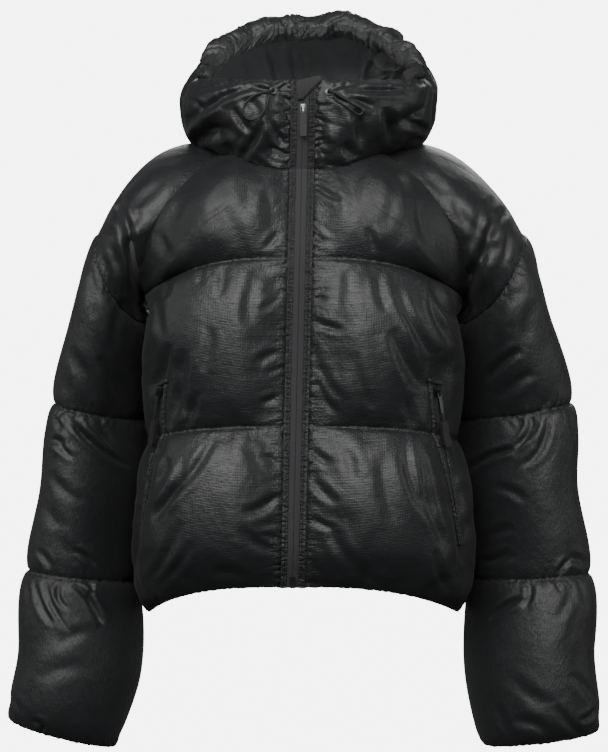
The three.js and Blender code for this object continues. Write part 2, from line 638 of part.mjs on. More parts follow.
// A place on the zip at a given height, as a frame: x across, -y outward, z up along it
function zipPlace(z, lift) {
  const i = zipLine.findIndex((p) => p.z > z);
  const t = (z - zipLine[i - 1].z) / (zipLine[i].z - zipLine[i - 1].z);
  const at = zipLine[i - 1].clone().lerp(zipLine[i], t);
  const out = zipOut[i - 1].clone().lerp(zipOut[i], t).normalize();
  at.x = zipX(z);
  return placeFrame(at.addScaledVector(out, lift), out, point(1, 0, 0));
}
function placeFrame(at, out, across) {
  const up = across.clone().cross(out.clone().negate()).normalize();
  const matrix = new THREE.Matrix4().makeBasis(across, out.clone().negate(), up);
  const group = new THREE.Group();
  group.position.copy(at);
  group.quaternion.setFromRotationMatrix(matrix);
  root.add(group);
  return group;
}
// Solids joined, for the hardware
const wasm = await Module();
wasm.setup();
function toManifold(geometry) {
  const bare = new THREE.BufferGeometry();
  bare.setAttribute("position", geometry.getAttribute("position"));
  if (geometry.index) bare.setIndex(geometry.index);
  const merged = mergeVertices(bare, 1e-4);
  const vertProperties = new Float32Array(merged.getAttribute("position").array);
  const triVerts = new Uint32Array(merged.index.array);
  return new wasm.Manifold(new wasm.Mesh({ numProp: 3, vertProperties, triVerts }));
}
function fromManifold(solidPiece) {
  const mesh = solidPiece.getMesh();
  const geometry = new THREE.BufferGeometry();
  geometry.setAttribute("position", new THREE.BufferAttribute(mesh.vertProperties, 3));
  geometry.setIndex(new THREE.BufferAttribute(mesh.triVerts, 1));
  geometry.computeVertexNormals();
  return geometry;
}
const join = (...pieces) => fromManifold(pieces.map(toManifold).reduce((a, b) => a.add(b)));

// Plate in the xz plane with rounded corners, centred on x, from one height to another, its back at y = back
function plate(width, low, high, corner, back, thick) {
  const w = width / 2;
  const shape = new THREE.Shape();
  shape.moveTo(-w + corner, low);
  shape.lineTo(w - corner, low);
  shape.absarc(w - corner, low + corner, corner, -Math.PI / 2, 0, false);
  shape.lineTo(w, high - corner);
  shape.absarc(w - corner, high - corner, corner, 0, Math.PI / 2, false);
  shape.lineTo(-w + corner, high);
  shape.absarc(-w + corner, high - corner, corner, Math.PI / 2, Math.PI, false);
  shape.lineTo(-w, low + corner);
  shape.absarc(-w + corner, low + corner, corner, Math.PI, 1.5 * Math.PI, false);
  const options = { depth: thick, bevelEnabled: false, curveSegments: 3 };
  return new THREE.ExtrudeGeometry(shape, options).rotateX(Math.PI / 2).translate(0, back, 0);
}
const block = (width, deep, tall, x, y, z) => new THREE.BoxGeometry(width, deep, tall).translate(x, y, z);

// Slider: a base plate on the teeth with a bridge over it, which the pull's cross bar passes under
function sliderGeometry() {
  const { width, height, thick, bridge, bar, rib, corner, postZ } = SLIDER;
  const base = plate(width, -height / 2, height / 2, corner, 0, thick);
  const post = (z) => block(rib, bridge + bar + 0.2, bar, 0, -thick - (bridge + bar) / 2 + 0.1, z);
  const top = block(rib, bar, 2 * postZ + bar, 0, -thick - bridge - bar / 2, 0);
  return join(base, post(postZ), post(-postZ), top);
}
const barY = -SLIDER.thick - SLIDER.bridge / 2; // the cross bar's own centre
// Pull: a cross bar under the bridge, two arms beside it, and the tab below
function pullGeometry(width, length, thick) {
  const { radius, armX, over } = PULL_BAR;
  const bar = new THREE.CylinderGeometry(radius, radius, 2 * armX + PULL_BAR.arm, 10).rotateZ(Math.PI / 2);
  const reach = SLIDER.height / 2 + over;
  const arm = (x) => block(PULL_BAR.arm, 2 * radius, reach + over, x, 0, -reach / 2);
  const tab = plate(width, -length, -reach + over, Math.min(width, 5) / 2 - 0.3, thick / 2, thick);
  return join(bar, arm(armX), arm(-armX), tab);
}
const sliderPlace = zipPlace(MAIN_PULL.z, zipTop + SEAM_GAP);
add("zip_slider", sliderGeometry(), darkMetal(), sliderPlace);
const mainPull = pullGeometry(MAIN_PULL.width, MAIN_PULL.length, MAIN_PULL.thick);
add("zip_pull", mainPull.rotateX(-rad(MAIN_PULL.tilt)).translate(0, barY, 0), rubber(), sliderPlace);
const boxPlate = plate(ZIP_BOX.width, -ZIP_BOX.tall / 2, ZIP_BOX.tall / 2, ZIP_BOX.corner, 0, ZIP_BOX.thick);
add("zip_box", boxPlate, darkMetal(), zipPlace(ZIP_BOX.z, zipTop + SEAM_GAP));

// Folded end of the zip's tape, over the top of the zip
const fold = new THREE.Shape([
  new THREE.Vector2(ZIP_END.left, ZIP_END.topLeft),
  new THREE.Vector2(ZIP_END.bottomX, ZIP_END.bottom),
  new THREE.Vector2(ZIP_END.bottomX + ZIP_END.foldWidth, ZIP_END.bottom),
  new THREE.Vector2(ZIP_END.right, ZIP_END.topRight - ZIP_END.foldWidth),
  new THREE.Vector2(ZIP_END.right - 1, ZIP_END.topRight),
]);
const foldSlab = new THREE.ExtrudeGeometry(fold, { depth: ZIP_END.thick, bevelEnabled: false });
add("zip_end_fold", foldSlab.rotateX(Math.PI / 2), tapeCloth(), zipPlace(ZIP_END.z, ZIP_END.lift));

// Brim: its sections stand on the hood's upper edge, in the direction in which the hood's wall arrives there
function edgeFrames(name, mirror) {
  const { base, spread } = panels["hood_" + name];
  const top = base.at(-1);
  return top
    .map((edge, i) => {
      const out = point(mirror * Math.sin(rad(spread[i])), -Math.cos(rad(spread[i])), 0);
      const high = column(HOOD_SWING, "high", "angle", spread[i]);
      const arrive = out.multiplyScalar(-high).add(point(0, 0, 0.18 * (edge.z - base[0][i].z))).normalize();
      return { edge, arrive, angle: spread[i] };
    })
    .filter((f) => f.angle >= BRIM.fromAngle);
}
function brimGeometry() {
  const left = edgeFrames("left", -1);
  const right = edgeFrames("right", 1).reverse().slice(1);
  const frames = [...left, ...right];
  const lengths = frames.map((f, i) => (i ? f.edge.distanceTo(frames[i - 1].edge) : 0));
  const reach = lengths.map((_, i) => lengths.slice(0, i + 1).reduce((a, b) => a + b, 0));
  const whole = reach.at(-1);
  const count = BRIM.gathers * 4;
  const rows = evenly(count).map((t) => {
    const i = clamp(reach.findIndex((r) => r >= t * whole), 1, frames.length - 1);
    const mix = (t * whole - reach[i - 1]) / (reach[i] - reach[i - 1]);
    const edge = frames[i - 1].edge.clone().lerp(frames[i].edge, mix);
    const arrive = frames[i - 1].arrive.clone().lerp(frames[i].arrive, mix).normalize();
    const before = frames[Math.max(i - 2, 0)].edge;
    const after = frames[Math.min(i + 1, frames.length - 1)].edge;
    const sideways = after.clone().sub(before).cross(arrive).normalize();
    const taper = BRIM.endShare + (1 - BRIM.endShare) * smooth(Math.min(t, 1 - t), 0, 0.16);
    const gather = BRIM.gatherDepth * taper * (Math.cos(2 * Math.PI * BRIM.gathers * t) - 1);
    const half = BRIM.half * taper;
    const middle = edge.clone().addScaledVector(arrive, half * Math.cos(Math.PI / BRIM.sides) - SEAM_GAP);
    return Array.from({ length: BRIM.sides }, (_, k) => {
      const turn = (2 * Math.PI * (k + 0.5)) / BRIM.sides;
      return middle
        .clone()
        .addScaledVector(arrive, (half + gather) * Math.cos(turn))
        .addScaledVector(sideways, (BRIM.thickHalf * taper + gather) * Math.sin(turn));
    });
  });
  return rod(rows);
}
// Closed rod through rings of points
function rod(rows) {
  const count = rows[0].length;
  const ends = [rows[0], rows.at(-1)].map((ring) =>
    ring.reduce((sum, p) => sum.add(p), point(0, 0, 0)).divideScalar(count),
  );
  const vertices = [...rows.flat(), ...ends];
  const id = (r, k) => r * count + (k % count);
  const triangles = [];
  rows.slice(1).forEach((_, r) => {
    for (let k = 0; k < count; k++) {
      triangles.push([id(r, k), id(r, k + 1), id(r + 1, k + 1)], [id(r, k), id(r + 1, k + 1), id(r + 1, k)]);
    }
  });
  for (let k = 0; k < count; k++) {
    triangles.push([rows.length * count, id(0, k + 1), id(0, k)]);
    triangles.push([rows.length * count + 1, id(rows.length - 1, k), id(rows.length - 1, k + 1)]);
  }
  return solid(vertices, triangles);
}
add("hood_brim", brimGeometry(), shell());

// A place on a panel's outside, between its grid points, with the outward direction there
function onPanel(panel, across, up) {
  const find = (list, x) => clamp(list.findIndex((v) => v > x) - 1, 0, list.length - 2);
  const c = find(panel.acrossSteps, across);
  const r = find(panel.upSteps, up);
  const s = (across - panel.acrossSteps[c]) / (panel.acrossSteps[c + 1] - panel.acrossSteps[c]);
  const t = (up - panel.upSteps[r]) / (panel.upSteps[r + 1] - panel.upSteps[r]);
  const blend = (grid) => {
    const sum = grid[r][c].clone().multiplyScalar(1 - Math.max(s, t));
    sum.addScaledVector(s > t ? grid[r][c + 1] : grid[r + 1][c], Math.abs(s - t));
    return sum.addScaledVector(grid[r + 1][c + 1], Math.min(s, t));
  };
  return { at: blend(panel.outer), out: blend(panel.out).normalize() };
}

for (const [name, mirror] of Object.entries(side)) {
  const panel = panels["front_" + name];
  const span = POCKET.topLevel - POCKET.bottomLevel;
  const rowsUp = evenly(POCKET.rows).map((t) => POCKET.bottomLevel + span * t);
  for (const strip of POCKET_STRIPS) {
    const grid = (height) =>
      rowsUp.map((level, i) => {
        const taper = POCKET.tip + (1 - POCKET.tip) * smooth(i / POCKET.rows, 0, 0.7);
        return [strip.from, strip.to].map((width) => {
          const middle = pocketAcross(name, level);
          const [before, after] = [-0.02, 0.02].map((step) => onPanel(panel, middle + step, level).at);
          const perMillimetre = 0.04 / after.distanceTo(before);
          const reach = width * taper * (strip.side || 1) + SEAM_GAP * strip.side;
          const { at, out } = onPanel(panel, middle + reach * perMillimetre, level);
          return at.addScaledVector(out, height);
        });
      });
    const look = strip.side ? shell() : tapeCloth();
    add(strip.name + "_" + name, wall(grid(LIFT), grid(LIFT + strip.thick), false), look);
  }
  // The slider lies on the zip, and the pull hangs from it, clear of the cloth below
  const spot = (level) => onPanel(panel, pocketAcross(name, level), level);
  const { level, slope, restLevel, lift, stand } = POCKET_PULL;
  const top = spot(level);
  const zipUp = spot(level + slope).at.sub(spot(level - slope).at).normalize();
  const out = top.out.addScaledVector(zipUp, -top.out.dot(zipUp)).normalize();
  const across = out.clone().negate().cross(zipUp).normalize();
  const seat = top.at.clone().addScaledVector(out, LIFT + POCKET_STRIPS[1].thick + lift);
  const place = placeFrame(seat, out, across);
  const low = spot(restLevel);
  const hang = low.at.addScaledVector(out, stand).sub(seat.clone().addScaledVector(out, -barY));
  const tilt = Math.atan2(hang.dot(out), -hang.dot(zipUp));
  const { tab: tabLength, neck: link, grip } = POCKET_PULL;
  const linkLow = -tabLength - link.length;
  const linkPlate = plate(link.width, linkLow - 1, -tabLength - SEAM_GAP, 0.8, link.thick / 2, link.thick);
  const gripPlate = plate(grip.width, linkLow - grip.length, linkLow, 4.2, grip.thick / 2, grip.thick);
  const hung = (geometry) => geometry.rotateX(-tilt).translate(0, barY, 0);
  add("pocket_slider_" + name, sliderGeometry(), darkMetal(), place);
  const tab = pullGeometry(POCKET_PULL.tabWidth, tabLength, POCKET_PULL.thick);
  add("pocket_pull_" + name, hung(tab), darkMetal(), place);
  add("pocket_toggle_" + name, hung(join(linkPlate, gripPlate)), rubber(), place);
}

// Metal eyelets on the collar, one beside each edge of the zip, that the drawcord comes out of
for (const [name, place] of Object.entries(EYELET.places)) {
  const { at, out } = onPanel(panels["hood_" + name], place.angle / 180, place.rise);
  const { outer, inner, thick } = EYELET;
  const lip = inner + 0.7;
  const rim = [[inner, 0], [outer, 0], [outer, 0.6 * thick], [lip, thick], [inner, 0.7 * thick], [inner, 0]];
  const profile = rim.map(([x, y]) => new THREE.Vector2(x, y));
  const ring = new THREE.LatheGeometry(profile, EYELET.sides).rotateX(Math.PI);
  const across = point(0, 0, 1).cross(out).normalize();
  const group = placeFrame(at.addScaledVector(out, EYELET.lift), out, across);
  add("eyelet_" + name, ring, darkMetal(), group);
}

for (const name of Object.keys(side)) {
  const path = new THREE.CatmullRomCurve3(CORD[name].map(({ x, y, z }) => point(x, y, z)));
  const section = new THREE.Shape();
  section.absarc(0, 0, CORD.diameter / 2, 0, 2 * Math.PI);
  const stepCount = Math.round(path.getLength() / (2 * CORD.diameter));
  const options = { steps: stepCount, curveSegments: CORD.arcSteps, bevelEnabled: false, extrudePath: path };
  add("drawcord_" + name, new THREE.ExtrudeGeometry(section, options), tapeCloth());
}

export default root;
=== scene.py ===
"""Looks of a cropped black puffer jacket with a hood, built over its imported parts."""

import math

import bpy
import numpy as np
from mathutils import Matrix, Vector, noise


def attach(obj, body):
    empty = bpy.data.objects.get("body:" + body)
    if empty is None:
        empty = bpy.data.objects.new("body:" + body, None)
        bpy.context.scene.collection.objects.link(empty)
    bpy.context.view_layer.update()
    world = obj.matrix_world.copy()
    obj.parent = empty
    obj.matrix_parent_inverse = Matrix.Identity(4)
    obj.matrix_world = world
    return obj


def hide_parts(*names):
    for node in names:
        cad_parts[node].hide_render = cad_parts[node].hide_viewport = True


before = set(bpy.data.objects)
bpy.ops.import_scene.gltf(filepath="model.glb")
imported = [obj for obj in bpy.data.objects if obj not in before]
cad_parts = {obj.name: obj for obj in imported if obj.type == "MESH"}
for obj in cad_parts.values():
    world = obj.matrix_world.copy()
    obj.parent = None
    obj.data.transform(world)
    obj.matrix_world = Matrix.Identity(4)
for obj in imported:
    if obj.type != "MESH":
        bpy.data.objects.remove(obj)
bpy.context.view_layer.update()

# Camera: straight on from about four metres with a long lens, level with the jacket's middle. One pixel of
# the 608 by 752 picture is 1.18 mm at the sleeves.
def added(name, data):
    """A new object in the scene."""
    made = bpy.data.objects.new(name, data)
    bpy.context.collection.objects.link(made)
    return made


pixel = 0.00118
picture_rows = 752
sensor_high = 24
distance = 4.0
camera = added("camera", bpy.data.cameras.new("camera"))
camera.location = (0.0012, -distance - 0.02, -0.2667)
camera.rotation_euler = (math.radians(90), 0, 0)
camera.data.sensor_fit = "VERTICAL"
camera.data.sensor_height = sensor_high
camera.data.lens = sensor_high * distance / (picture_rows * pixel)
bpy.context.scene.camera = camera

# Drawcords: a thin round elastic cord in a braided cover. On each side a loop comes out of the collar's
# eyelet, lies on the cloth and goes back in beside it: an open one on the left, a pressed one on the right.
class Socket:
    """A shader value. Sums and products of these make nodes."""

    def __init__(self, tree, out):
        self.tree, self.out = tree, out

    def node(self, kind, result, inputs, **settings):
        made = self.tree.nodes.new(kind)
        for key, value in settings.items():
            setattr(made, key, value)
        for key, value in inputs.items():
            if isinstance(value, Socket):
                self.tree.links.new(value.out, made.inputs[key])
            else:
                made.inputs[key].default_value = value
        return Socket(self.tree, made.outputs[result])

    def _math(self, operation, a, b):
        return self.node("ShaderNodeMath", 0, {0: a, 1: b}, operation=operation)

    def __add__(self, other):
        return self._math("ADD", self, other)

    def __mul__(self, other):
        return self._math("MULTIPLY", self, other)

    __radd__, __rmul__ = __add__, __mul__

    def sine(self):
        return self._math("SINE", self, 0.0)

    def into(self, name):
        self.tree.links.new(self.out, self.tree.nodes["Principled BSDF"].inputs[name])


def new_material(name, color, roughness, **fixed):
    """A material with its plain values, and its object and cloth coordinates as sockets."""
    made = bpy.data.materials.new(name)
    made.use_nodes = True
    skin = made.node_tree.nodes["Principled BSDF"]
    skin.inputs["Base Color"].default_value = (*color, 1)
    skin.inputs["Roughness"].default_value = roughness
    for key, value in fixed.items():
        skin.inputs[key.replace("_", " ")].default_value = value
    places = made.node_tree.nodes.new("ShaderNodeTexCoord").outputs
    return made, Socket(made.node_tree, places["Object"]), Socket(made.node_tree, places["UV"])


def bumped(height, strength, depth):
    bump = {"Height": height, "Strength": strength, "Distance": depth}
    height.node("ShaderNodeBump", "Normal", bump).into("Normal")


cord_width = 0.0022
# the curve is a little longer than the straight lines between its points
rounding = 1.01
cord_routes = {
    "left": [
        (-34.2, -121.6, 61.7), (-34.9, -124.6, 61.9), (-38.5, -125.4, 61.5), (-44, -125, 60),
        (-51, -124.3, 58), (-58, -123.5, 54.5), (-64.5, -122.8, 49), (-68.5, -122.1, 41.5),
        (-67.5, -121.8, 33.5), (-62, -122.5, 28.5), (-54.5, -124, 29), (-47.5, -125.1, 34), (-43, -125.4, 41),
        (-40.6, -125.3, 48), (-39.4, -124.7, 53), (-38.9, -123.7, 56.4),
    ],
    "right": [
        (30.4, -120.6, 60.4), (31.0, -123.6, 60.8), (34.2, -124.5, 60.2), (39, -125, 57.6),
        (45, -125.4, 53.8), (51, -125.5, 50.2), (57, -125.2, 46.4), (62.5, -124.3, 43.4), (67.5, -123, 40.2),
        (68.3, -122.5, 36), (64.5, -123, 33.8), (59, -124.3, 36.6), (53, -125.4, 41), (47, -125.7, 45.2),
        (41, -125.3, 49.2), (37.4, -124.5, 52.4), (35.8, -123.2, 54.8),
    ],
}
braid, place, _ = new_material("braid", (0.012, 0.012, 0.013), 0.55)
bumped(place.node("ShaderNodeTexVoronoi", "Distance", {"Vector": place, "Scale": 1400}), 0.6, 0.0003)
for name, route in cord_routes.items():
    line = bpy.data.curves.new("drawcord_loop_" + name, "CURVE")
    line.dimensions = "3D"
    line.bevel_depth = cord_width / 2
    line.bevel_resolution = 3
    line.resolution_u = 6
    line.use_fill_caps = True
    spline = line.splines.new("BEZIER")
    spline.bezier_points.add(len(route) - 1)
    points = np.array(route) / 1000
    for place, knot in zip(points, spline.bezier_points):
        knot.co = place
        knot.handle_left_type = knot.handle_right_type = "AUTO"
    line.materials.append(braid)
    loop = added("drawcord_loop_" + name, line)
    length = float(np.linalg.norm(np.diff(points, axis=0), axis=1).sum()) * rounding
    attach(loop, "jacket")
    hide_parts("drawcord_" + name)

# Studio: a pale floor and backdrop, one large soft light above and in front, and weaker ones at the sides,
# above, behind and inside the hood, so that each padded channel shines on its upper half and is dark below.
pale, *_ = new_material("pale", (0.9, 0.9, 0.9), 0.5, Emission_Color=(1, 1, 1, 1), Emission_Strength=6.0)
half_wide, back, floor_level, high = 6, 4.8, -1.25, 5
for name, (y1, z1), (y2, z2) in (
    ("floor", (-half_wide, floor_level), (back, floor_level)),
    ("backdrop", (back, floor_level), (back, high)),
):
    mesh = bpy.data.meshes.new(name)
    corners = [(-half_wide, y1, z1), (half_wide, y1, z1), (half_wide, y2, z2), (-half_wide, y2, z2)]
    mesh.from_pydata(corners, [], [(0, 1, 2, 3)])
    mesh.materials.append(pale)
    plane = added(name, mesh)
    plane.visible_glossy = plane.visible_diffuse = False
for name, place, aim, size, power in (
    ("key", (-0.5, -2.75, 1.55), (0, 0, -0.28), (3.0, 1.3), 122),
    ("front", (0.5, -4.6, 0.2), (0, 0, -0.3), (2.6, 1.2), 26),
    ("side", (-2.4, -0.6, 0.6), (0, 0, -0.3), (0.9, 1.8), 10),
    ("other_side", (2.4, -0.8, 0.5), (0, 0, -0.3), (0.9, 1.8), 13),
    ("top", (0.1, -0.2, 2.4), (0, 0, 0), (2.0, 1.4), 5),
    ("behind", (0.5, 3.2, 1.7), (0, 0, -0.2), (2.6, 1.4), 45),
    ("inside_hood", (-0.05, -0.07, 0.04), (0.01, 0.12, 0.11), (0.16, 0.05), 0.17),
):
    light = bpy.data.lights.new(name, "AREA")
    light.shape = "RECTANGLE"
    light.size, light.size_y = size
    light.energy = power
    lamp = added(name, light)
    lamp.location = place
    lamp.rotation_euler = (Vector(aim) - Vector(place)).to_track_quat("-Z", "Y").to_euler()
    lamp.visible_camera = False
world = bpy.data.worlds.new("room")
bpy.context.scene.world = world
world.use_nodes = True
room = world.node_tree.nodes["Background"].inputs
room["Color"].default_value = (0.75, 0.77, 0.8, 1)
room["Strength"].default_value = 0.1

# Shell cloth: thin black nylon with a gloss, a fine crosswise weave, and a crinkle that gets finer and
# stronger beside every seam. The lining is the same black cloth with a duller face, and its lighter colour is
# painted light, so that the shaded inside of the hood looks lit.
def across_and_up(cloth):
    across = cloth.node("ShaderNodeSeparateXYZ", "X", {"Vector": cloth})
    return across, Socket(across.tree, across.out.node.outputs["Y"])


def cloudy(place, scale, detail=2, rough=0.5):
    noise_values = {"Vector": place, "Scale": scale, "Detail": detail, "Roughness": rough}
    return place.node("ShaderNodeTexNoise", "Fac", noise_values)


def waves(way, pitch):
    return (way * (2 * math.pi / pitch)).sine()


def nylon(name, color, roughness, crinkle, gloss=0.5):
    made, place, cloth = new_material(name, color, roughness, Specular_IOR_Level=gloss, Sheen_Weight=0.04)
    across, up = across_and_up(cloth)
    soft = cloudy(place, 42, 3, 0.6)
    fine = cloudy(place, 330)
    crumple = cloudy(place, 115)
    threads = cloudy(place.node("ShaderNodeCombineXYZ", 0, {"X": across * 45, "Y": up * 620}), 1)
    weave = waves(up, 0.0017) + waves(across, 0.0026) * 0.5
    near = place.node("ShaderNodeAttribute", "Fac", {}, attribute_name="near_seam")
    (soft * 0.16 + threads * 0.12 + (roughness - 0.14) + near * 0.06).into("Roughness")
    dark, bright = [(*[c * by for c in color], 1) for by in (0.8, 1.25)]
    place.node("ShaderNodeMix", 2, {0: threads, 6: dark, 7: bright}, data_type="RGBA").into("Base Color")
    height = soft * (crinkle * 0.85) + crumple * (crinkle * 0.5) + fine * near * 0.6 + fine * 0.08
    bumped(height + threads * 0.1 + weave * 0.02, 1.0, 0.0022)
    return made


shell_cloth = nylon("shell_nylon", (0.0105, 0.011, 0.0118), 0.44, 0.5)
# the lining's colour, about four times the shell's, is painted light for the shaded inside of the hood
lining_cloth = nylon("lining_nylon", (0.045, 0.046, 0.048), 0.62, 0.3, 0.35)

# Body: two fronts and a back in glossy black nylon, each padded channel sewn down at the seams above and
# below it, so that it swells between them and gathers into short wrinkles beside them.
wall = 0.0025
closure = 0.0142
torso = np.array([
    # level, front z, front y, back z, back y: the middle of the fronts and of the back
    (0.0, -510, -120, -516, 112),
    (0.35, -458, -136, -462, 124),
    (1.0, -325, -133, -332, 122),
    (1.5, -230, -131, -240, 121),
    (2.0, -132, -128, -146, 118),
    (2.5, -76, -114, -62, 106),
    (3.0, -27, -98, 10, 78),
])
side_seam = np.array([
    # level, x, y, z
    (0.0, 181, -6, -545),
    (0.3, 190, -8, -495),
    (1.0, 178, -8, -342),
    (1.5, 174, -8, -255),
    (1.85, 176, -5, -200),
    (2.0, 187, 0, -174),
])
raglan = {
    # level, x, y, z, angle at which the panel meets the seam
    "front": np.array([
        (2.0, 187, 0, -174, 90),
        (2.2, 191, -46, -158, 66),
        (2.4, 186, -78, -124, 38),
        (2.62, 165, -90, -80, 28),
        (2.82, 132, -75, -38, 38),
        (3.0, 95, -46.6, -6.9, 57),
    ]),
    "back": np.array([
        (2.0, 187, 0, -174, 90),
        (2.2, 190, 44, -158, 62),
        (2.4, 182, 76, -122, 28),
        (2.62, 158, 90, -74, 18),
        (2.82, 124, 80, -30, 22),
        (3.0, 84, 49, 7.4, 36),
    ]),
}
puff_heights = {"front": (24, 23, 14), "back": (22, 21, 12)}


def smooth(x, low, high):
    s = np.clip((x - low) / (high - low), 0, 1)
    return s * s * (3 - 2 * s)


def through(rows, at):
    """Smooth curves through a table's rows: the other columns at these places of the first column."""
    t, v = rows[:, 0], rows[:, 1:]
    at = np.asarray(at, float)
    last = len(t) - 1
    i = np.clip(np.searchsorted(t, at, side="right") - 1, 0, last - 1)
    before = np.maximum(np.arange(last + 1) - 1, 0)
    after = np.minimum(np.arange(last + 1) + 1, last)
    slope = (v[after] - v[before]) / (t[after] - t[before])[:, None]
    span = (t[i + 1] - t[i])[..., None]
    s = np.clip((at[..., None] - t[i][..., None]) / span, 0, 1)
    p, q, m, n = v[i], v[i + 1], slope[i] * span, slope[i + 1] * span
    return p + s * (m + s * (3 * (q - p) - 2 * m - n + s * (2 * (p - q) + m + n)))


def panel_edge(face, level):
    """Place of a body panel's side edge and the angle there: the side seam, then the raglan seam."""
    level = np.asarray(level, float)
    below = through(side_seam, np.minimum(level, 2))
    above = through(raglan[face], np.maximum(level, 2))
    low = (level <= 2)[..., None]
    turn = np.where(level <= 2, 90, above[..., 3])
    return np.where(low, below, above[..., :3]), np.radians(turn)


def bezier(a, b, c, d, t):
    return a * (1 - t) ** 3 + 3 * b * t * (1 - t) ** 2 + 3 * c * t**2 * (1 - t) + d * t**3


def torso_points(face, across, level):
    """Points of a body panel in millimetres, across from its middle edge (0) to its side edge (1)."""
    front = face == "front"
    columns = through(torso, level)
    z0, y0 = (columns[..., 0], columns[..., 1]) if front else (columns[..., 2], columns[..., 3])
    edge, turn = panel_edge(face, level)
    x0 = closure * 1000 if front else 0.0
    reach = edge[..., 0] - x0
    drop = np.abs(edge[..., 1] - y0)
    c, s = np.cos(turn), np.sin(turn)
    handle = (0.8 - 0.25 * smooth(level, 1.6, 2.3)) * (c * reach + s * drop)
    middle_pull = 0.8 - 0.2 * smooth(level, 1.6, 2.6)
    toward = -1 if front else 1
    x = bezier(x0, x0 + middle_pull * reach, edge[..., 0] - c * handle, edge[..., 0], across)
    y = bezier(y0, y0, edge[..., 1] + toward * s * handle, edge[..., 1], across)
    z = z0 + (edge[..., 2] - z0) * smooth(across, 0.05, 1)
    return np.stack([x, y, z], -1)


def zip_x(z):
    return 1 + (z - 74) * 13 / 584


def channel(share, sag):
    return np.sin(np.pi * np.clip(share, 0, 1) ** sag) ** 0.7


def torso_puff(face, across, level):
    """Padding over the wall in millimetres: full in each channel, less at the zip, side seam and armpit."""
    step = np.minimum(np.floor(level), 2).astype(int)
    up = np.where(step == 2, channel(1 - (level - step), 1.0), channel(1 - (level - step), 0.85))
    to_side = 1 - 0.5 * smooth(across, 0.55, 0.98)
    to_zip = 0.25 + 0.75 * smooth(across, 0, 0.16) if face == "front" else 1.0
    beside = smooth(level, 1.5, 1.95) * (1 - smooth(level, 2.45, 2.9))
    armpit = 1 - beside * (1 - smooth(1 - across, 0.02, 0.45))
    edge = np.where(level > 2, smooth(1 - across, 0, 0.25 if face == "front" else 0.45), 1.0)
    return np.array(puff_heights[face])[step] * up * to_side * to_zip * armpit * edge


def unit(ways):
    return ways / np.maximum(np.linalg.norm(ways, axis=-1, keepdims=True), 1e-9)


def grid_normals(grid, closed=False):
    """Unit normals of a grid of points, pointing away from the body once multiplied by the panel's side."""
    if closed:
        round_ = np.roll(grid, -1, 1) - np.roll(grid, 1, 1)
    else:
        round_ = np.gradient(grid, axis=1)
    return unit(np.cross(round_, np.gradient(grid, axis=0)))


def grid_faces(rows, columns, closed=False):
    r, c = np.meshgrid(np.arange(rows - 1), np.arange(columns if closed else columns - 1), indexing="ij")
    d = (c + 1) % columns
    near, far = r * columns, (r + 1) * columns
    return np.stack([near + c, near + d, far + d, far + c], -1).reshape(-1, 4)


def grid_steps(grid):
    return [np.linalg.norm(np.diff(grid, axis=way), axis=-1) for way in (1, 0)]


def grid_cloth(grid):
    """Cloth coordinates of a grid in metres: how far each point is across the panel and up it."""
    wide, tall = grid_steps(grid)
    u = np.concatenate([np.zeros((len(grid), 1)), np.cumsum(wide, 1)], 1)
    v = np.concatenate([np.zeros((1, grid.shape[1])), np.cumsum(tall, 0)], 0)
    return np.stack([u, v], -1)


def near_held(grid, held, reach):
    """How close each point lies to a held line: 1 on it, 0 far away, along the grid's rows and columns."""
    near = np.where(held > 0.5, 1.0, 0.0)
    wide, tall = grid_steps(grid)
    for lines, steps in ((near, tall), (near.T, wide.T)):
        fade = np.exp(-steps / reach)
        for line, less in ((lines, fade), (lines[::-1], fade[::-1])):
            for r in range(1, len(line)):
                line[r] = np.maximum(line[r], line[r - 1] * less[r - 1])
    return near


def held_lines(shape, rows, sides=True):
    """1 along a grid's seams, where it is held, and 0 elsewhere."""
    held = np.zeros(shape)
    held[rows] = 1
    if sides:
        held[:, [0, -1]] = 1
    return held


near_reach = 0.009


def near_lines(outer, held):
    """How close each point of the finer grid lies to the lines where the shell is held."""
    lines = np.repeat(np.repeat(held, 2, 0), 2, 1)[: outer.shape[0], : outer.shape[1]] > 0.5
    lines[1::2] = False
    return near_held(outer, lines.astype(float), near_reach)


def settle(grid, held, closed, grow, pressure, frames):
    """The grid of a shell, in metres, once the filling has pushed it out between the lines that hold it."""
    rows, columns = grid.shape[:2]
    mesh = bpy.data.meshes.new("settling")
    mesh.from_pydata(grid.reshape(-1, 3).tolist(), [], grid_faces(rows, columns, closed).tolist())
    shell = added("settling", mesh)
    group = shell.vertex_groups.new(name="held")
    flat = np.round(held.reshape(-1), 1)
    for weight in np.unique(flat):
        if weight > 0:
            group.add(np.nonzero(flat == weight)[0].tolist(), float(weight), "REPLACE")
    cloth = shell.modifiers.new("cloth", "CLOTH").settings
    cloth.vertex_group_mass = "held"
    cloth.quality = 4
    cloth.mass = 0.15
    cloth.tension_stiffness = cloth.compression_stiffness = 12
    cloth.shear_stiffness = 4
    cloth.bending_stiffness = 0.08
    cloth.tension_damping = cloth.compression_damping = cloth.shear_damping = 8
    cloth.air_damping = 3
    cloth.use_pressure = True
    cloth.uniform_pressure_force = pressure
    cloth.shrink_min = -grow
    cloth.effector_weights.gravity = 0
    shell.modifiers["cloth"].collision_settings.use_collision = False
    for step in range(1, frames + 1):
        bpy.context.scene.frame_set(step)
    settled = shell.evaluated_get(bpy.context.evaluated_depsgraph_get()).data
    out = np.empty(rows * columns * 3)
    settled.vertices.foreach_get("co", out)
    bpy.data.objects.remove(shell)
    bpy.context.scene.frame_set(1)
    return out.reshape(rows, columns, 3)


# pixel column of the jacket's middle, and pixel row of height 0
middle_x, zero_y = 303, 150


def picture(x, y):
    """The place, in metres, that a pixel of the picture shows at the jacket's middle depth."""
    return np.array([(x - middle_x) * pixel, (zero_y - y) * pixel])


